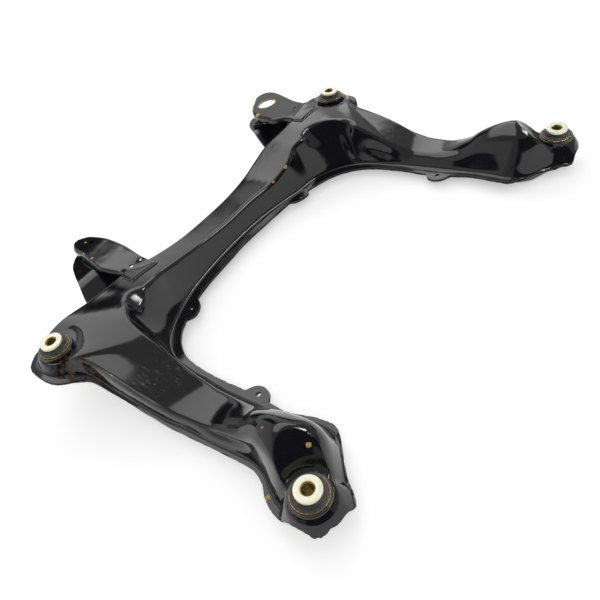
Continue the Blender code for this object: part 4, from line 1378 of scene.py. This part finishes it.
def white_world():
    """A world that lights at a plain level, and shows white to the camera and in metal."""
    world = bpy.data.worlds.new("white surround")
    world.use_nodes = True
    sky = Nodes(world.node_tree)
    seen = sky.node("ShaderNodeLightPath", {}, {}, "Is Camera Ray")
    for way in ("Is Glossy Ray", "Is Transmission Ray"):
        seen = seen.larger(sky.node("ShaderNodeLightPath", {}, {}, way))
    background = sky.tree.nodes["Background"].inputs
    sky.join(background["Color"], (1.0, 1.0, 1.0, 1.0))
    sky.join(background["Strength"], seen * (1 - WORLD_LEVEL) + WORLD_LEVEL)
    return world


class SUBFRAME_OT_stage(Operator):
    """Set the camera, the white floor, the reflection dome and the lamps"""

    bl_idname = "subframe.stage"
    bl_label = "Stage"

    def execute(self, context):
        levels = context.scene.subframe_stage
        lens = bpy.data.cameras.new("view")
        lens.lens = CAMERA_LENS
        lens.sensor_width = SENSOR
        lens.clip_end = 100.0
        camera = shown("view", lens)
        right = Vector(CAMERA_RIGHT).normalized()
        up = -Vector(CAMERA_DOWN).normalized()
        turn = Matrix((right, up, right.cross(up))).transposed().to_4x4()
        place = Vector(CAMERA_PLACE) * MM + Vector(SHIFT)
        camera.matrix_world = Matrix.Translation(place) @ turn
        context.scene.camera = camera
        corners = [(x * FLOOR_REACH, y * FLOOR_REACH, 0.0)
                   for x, y in ((-1, -1), (1, -1), (1, 1), (-1, 1))]
        plain_board("floor", corners, FLOOR_COLOUR, levels.floor)
        reflection_dome(levels.strip)
        for name, spot, size, radiance in LAMPS:
            panel_lamp(name, spot, LAMP_TARGET, size, radiance)
        context.scene.world = white_world()
        context.scene.view_settings.view_transform = "Standard"
        return {"FINISHED"}


class SUBFRAME_PT_panel(Panel):
    """Lists the subframe's settings and pieces"""

    bl_label = "Subframe"
    bl_idname = "SUBFRAME_PT_panel"
    bl_space_type = "VIEW_3D"
    bl_region_type = "UI"
    bl_category = "Subframe"

    def draw(self, context):
        scene = context.scene
        for group, names in (
                (scene.subframe_pressing, ("sheet", "seam", "horn_sheet")),
                (scene.subframe_finish, ("coat", "ivory", "plating", "rubber", "dust")),
                (scene.subframe_stage, ("floor", "strip"))):
            for name in names:
                self.layout.prop(group, name)
        for operator in STEPS:
            self.layout.operator(operator.bl_idname)


SETTINGS = (
    (PressingSettings, "subframe_pressing"),
    (FinishSettings, "subframe_finish"),
    (StageSettings, "subframe_stage"),
)
STEPS = (SUBFRAME_OT_pressings, SUBFRAME_OT_bushes, SUBFRAME_OT_horns, SUBFRAME_OT_welds,
         SUBFRAME_OT_hardware, SUBFRAME_OT_stage)


def register():
    """Register the settings, the operators and the panel."""
    for group, name in SETTINGS:
        bpy.utils.register_class(group)
        setattr(bpy.types.Scene, name, PointerProperty(type=group))
    for listed in (*STEPS, SUBFRAME_PT_panel):
        bpy.utils.register_class(listed)


def unregister():
    """Take back what register added."""
    for listed in (SUBFRAME_PT_panel, *reversed(STEPS)):
        bpy.utils.unregister_class(listed)
    for group, name in reversed(SETTINGS):
        delattr(bpy.types.Scene, name)
        bpy.utils.unregister_class(group)


def main():
    """Build every piece."""
    register()
    for step in STEPS:
        group, name = step.bl_idname.split(".")
        getattr(getattr(bpy.ops, group), name)()


if __name__ == "__main__":
    main()
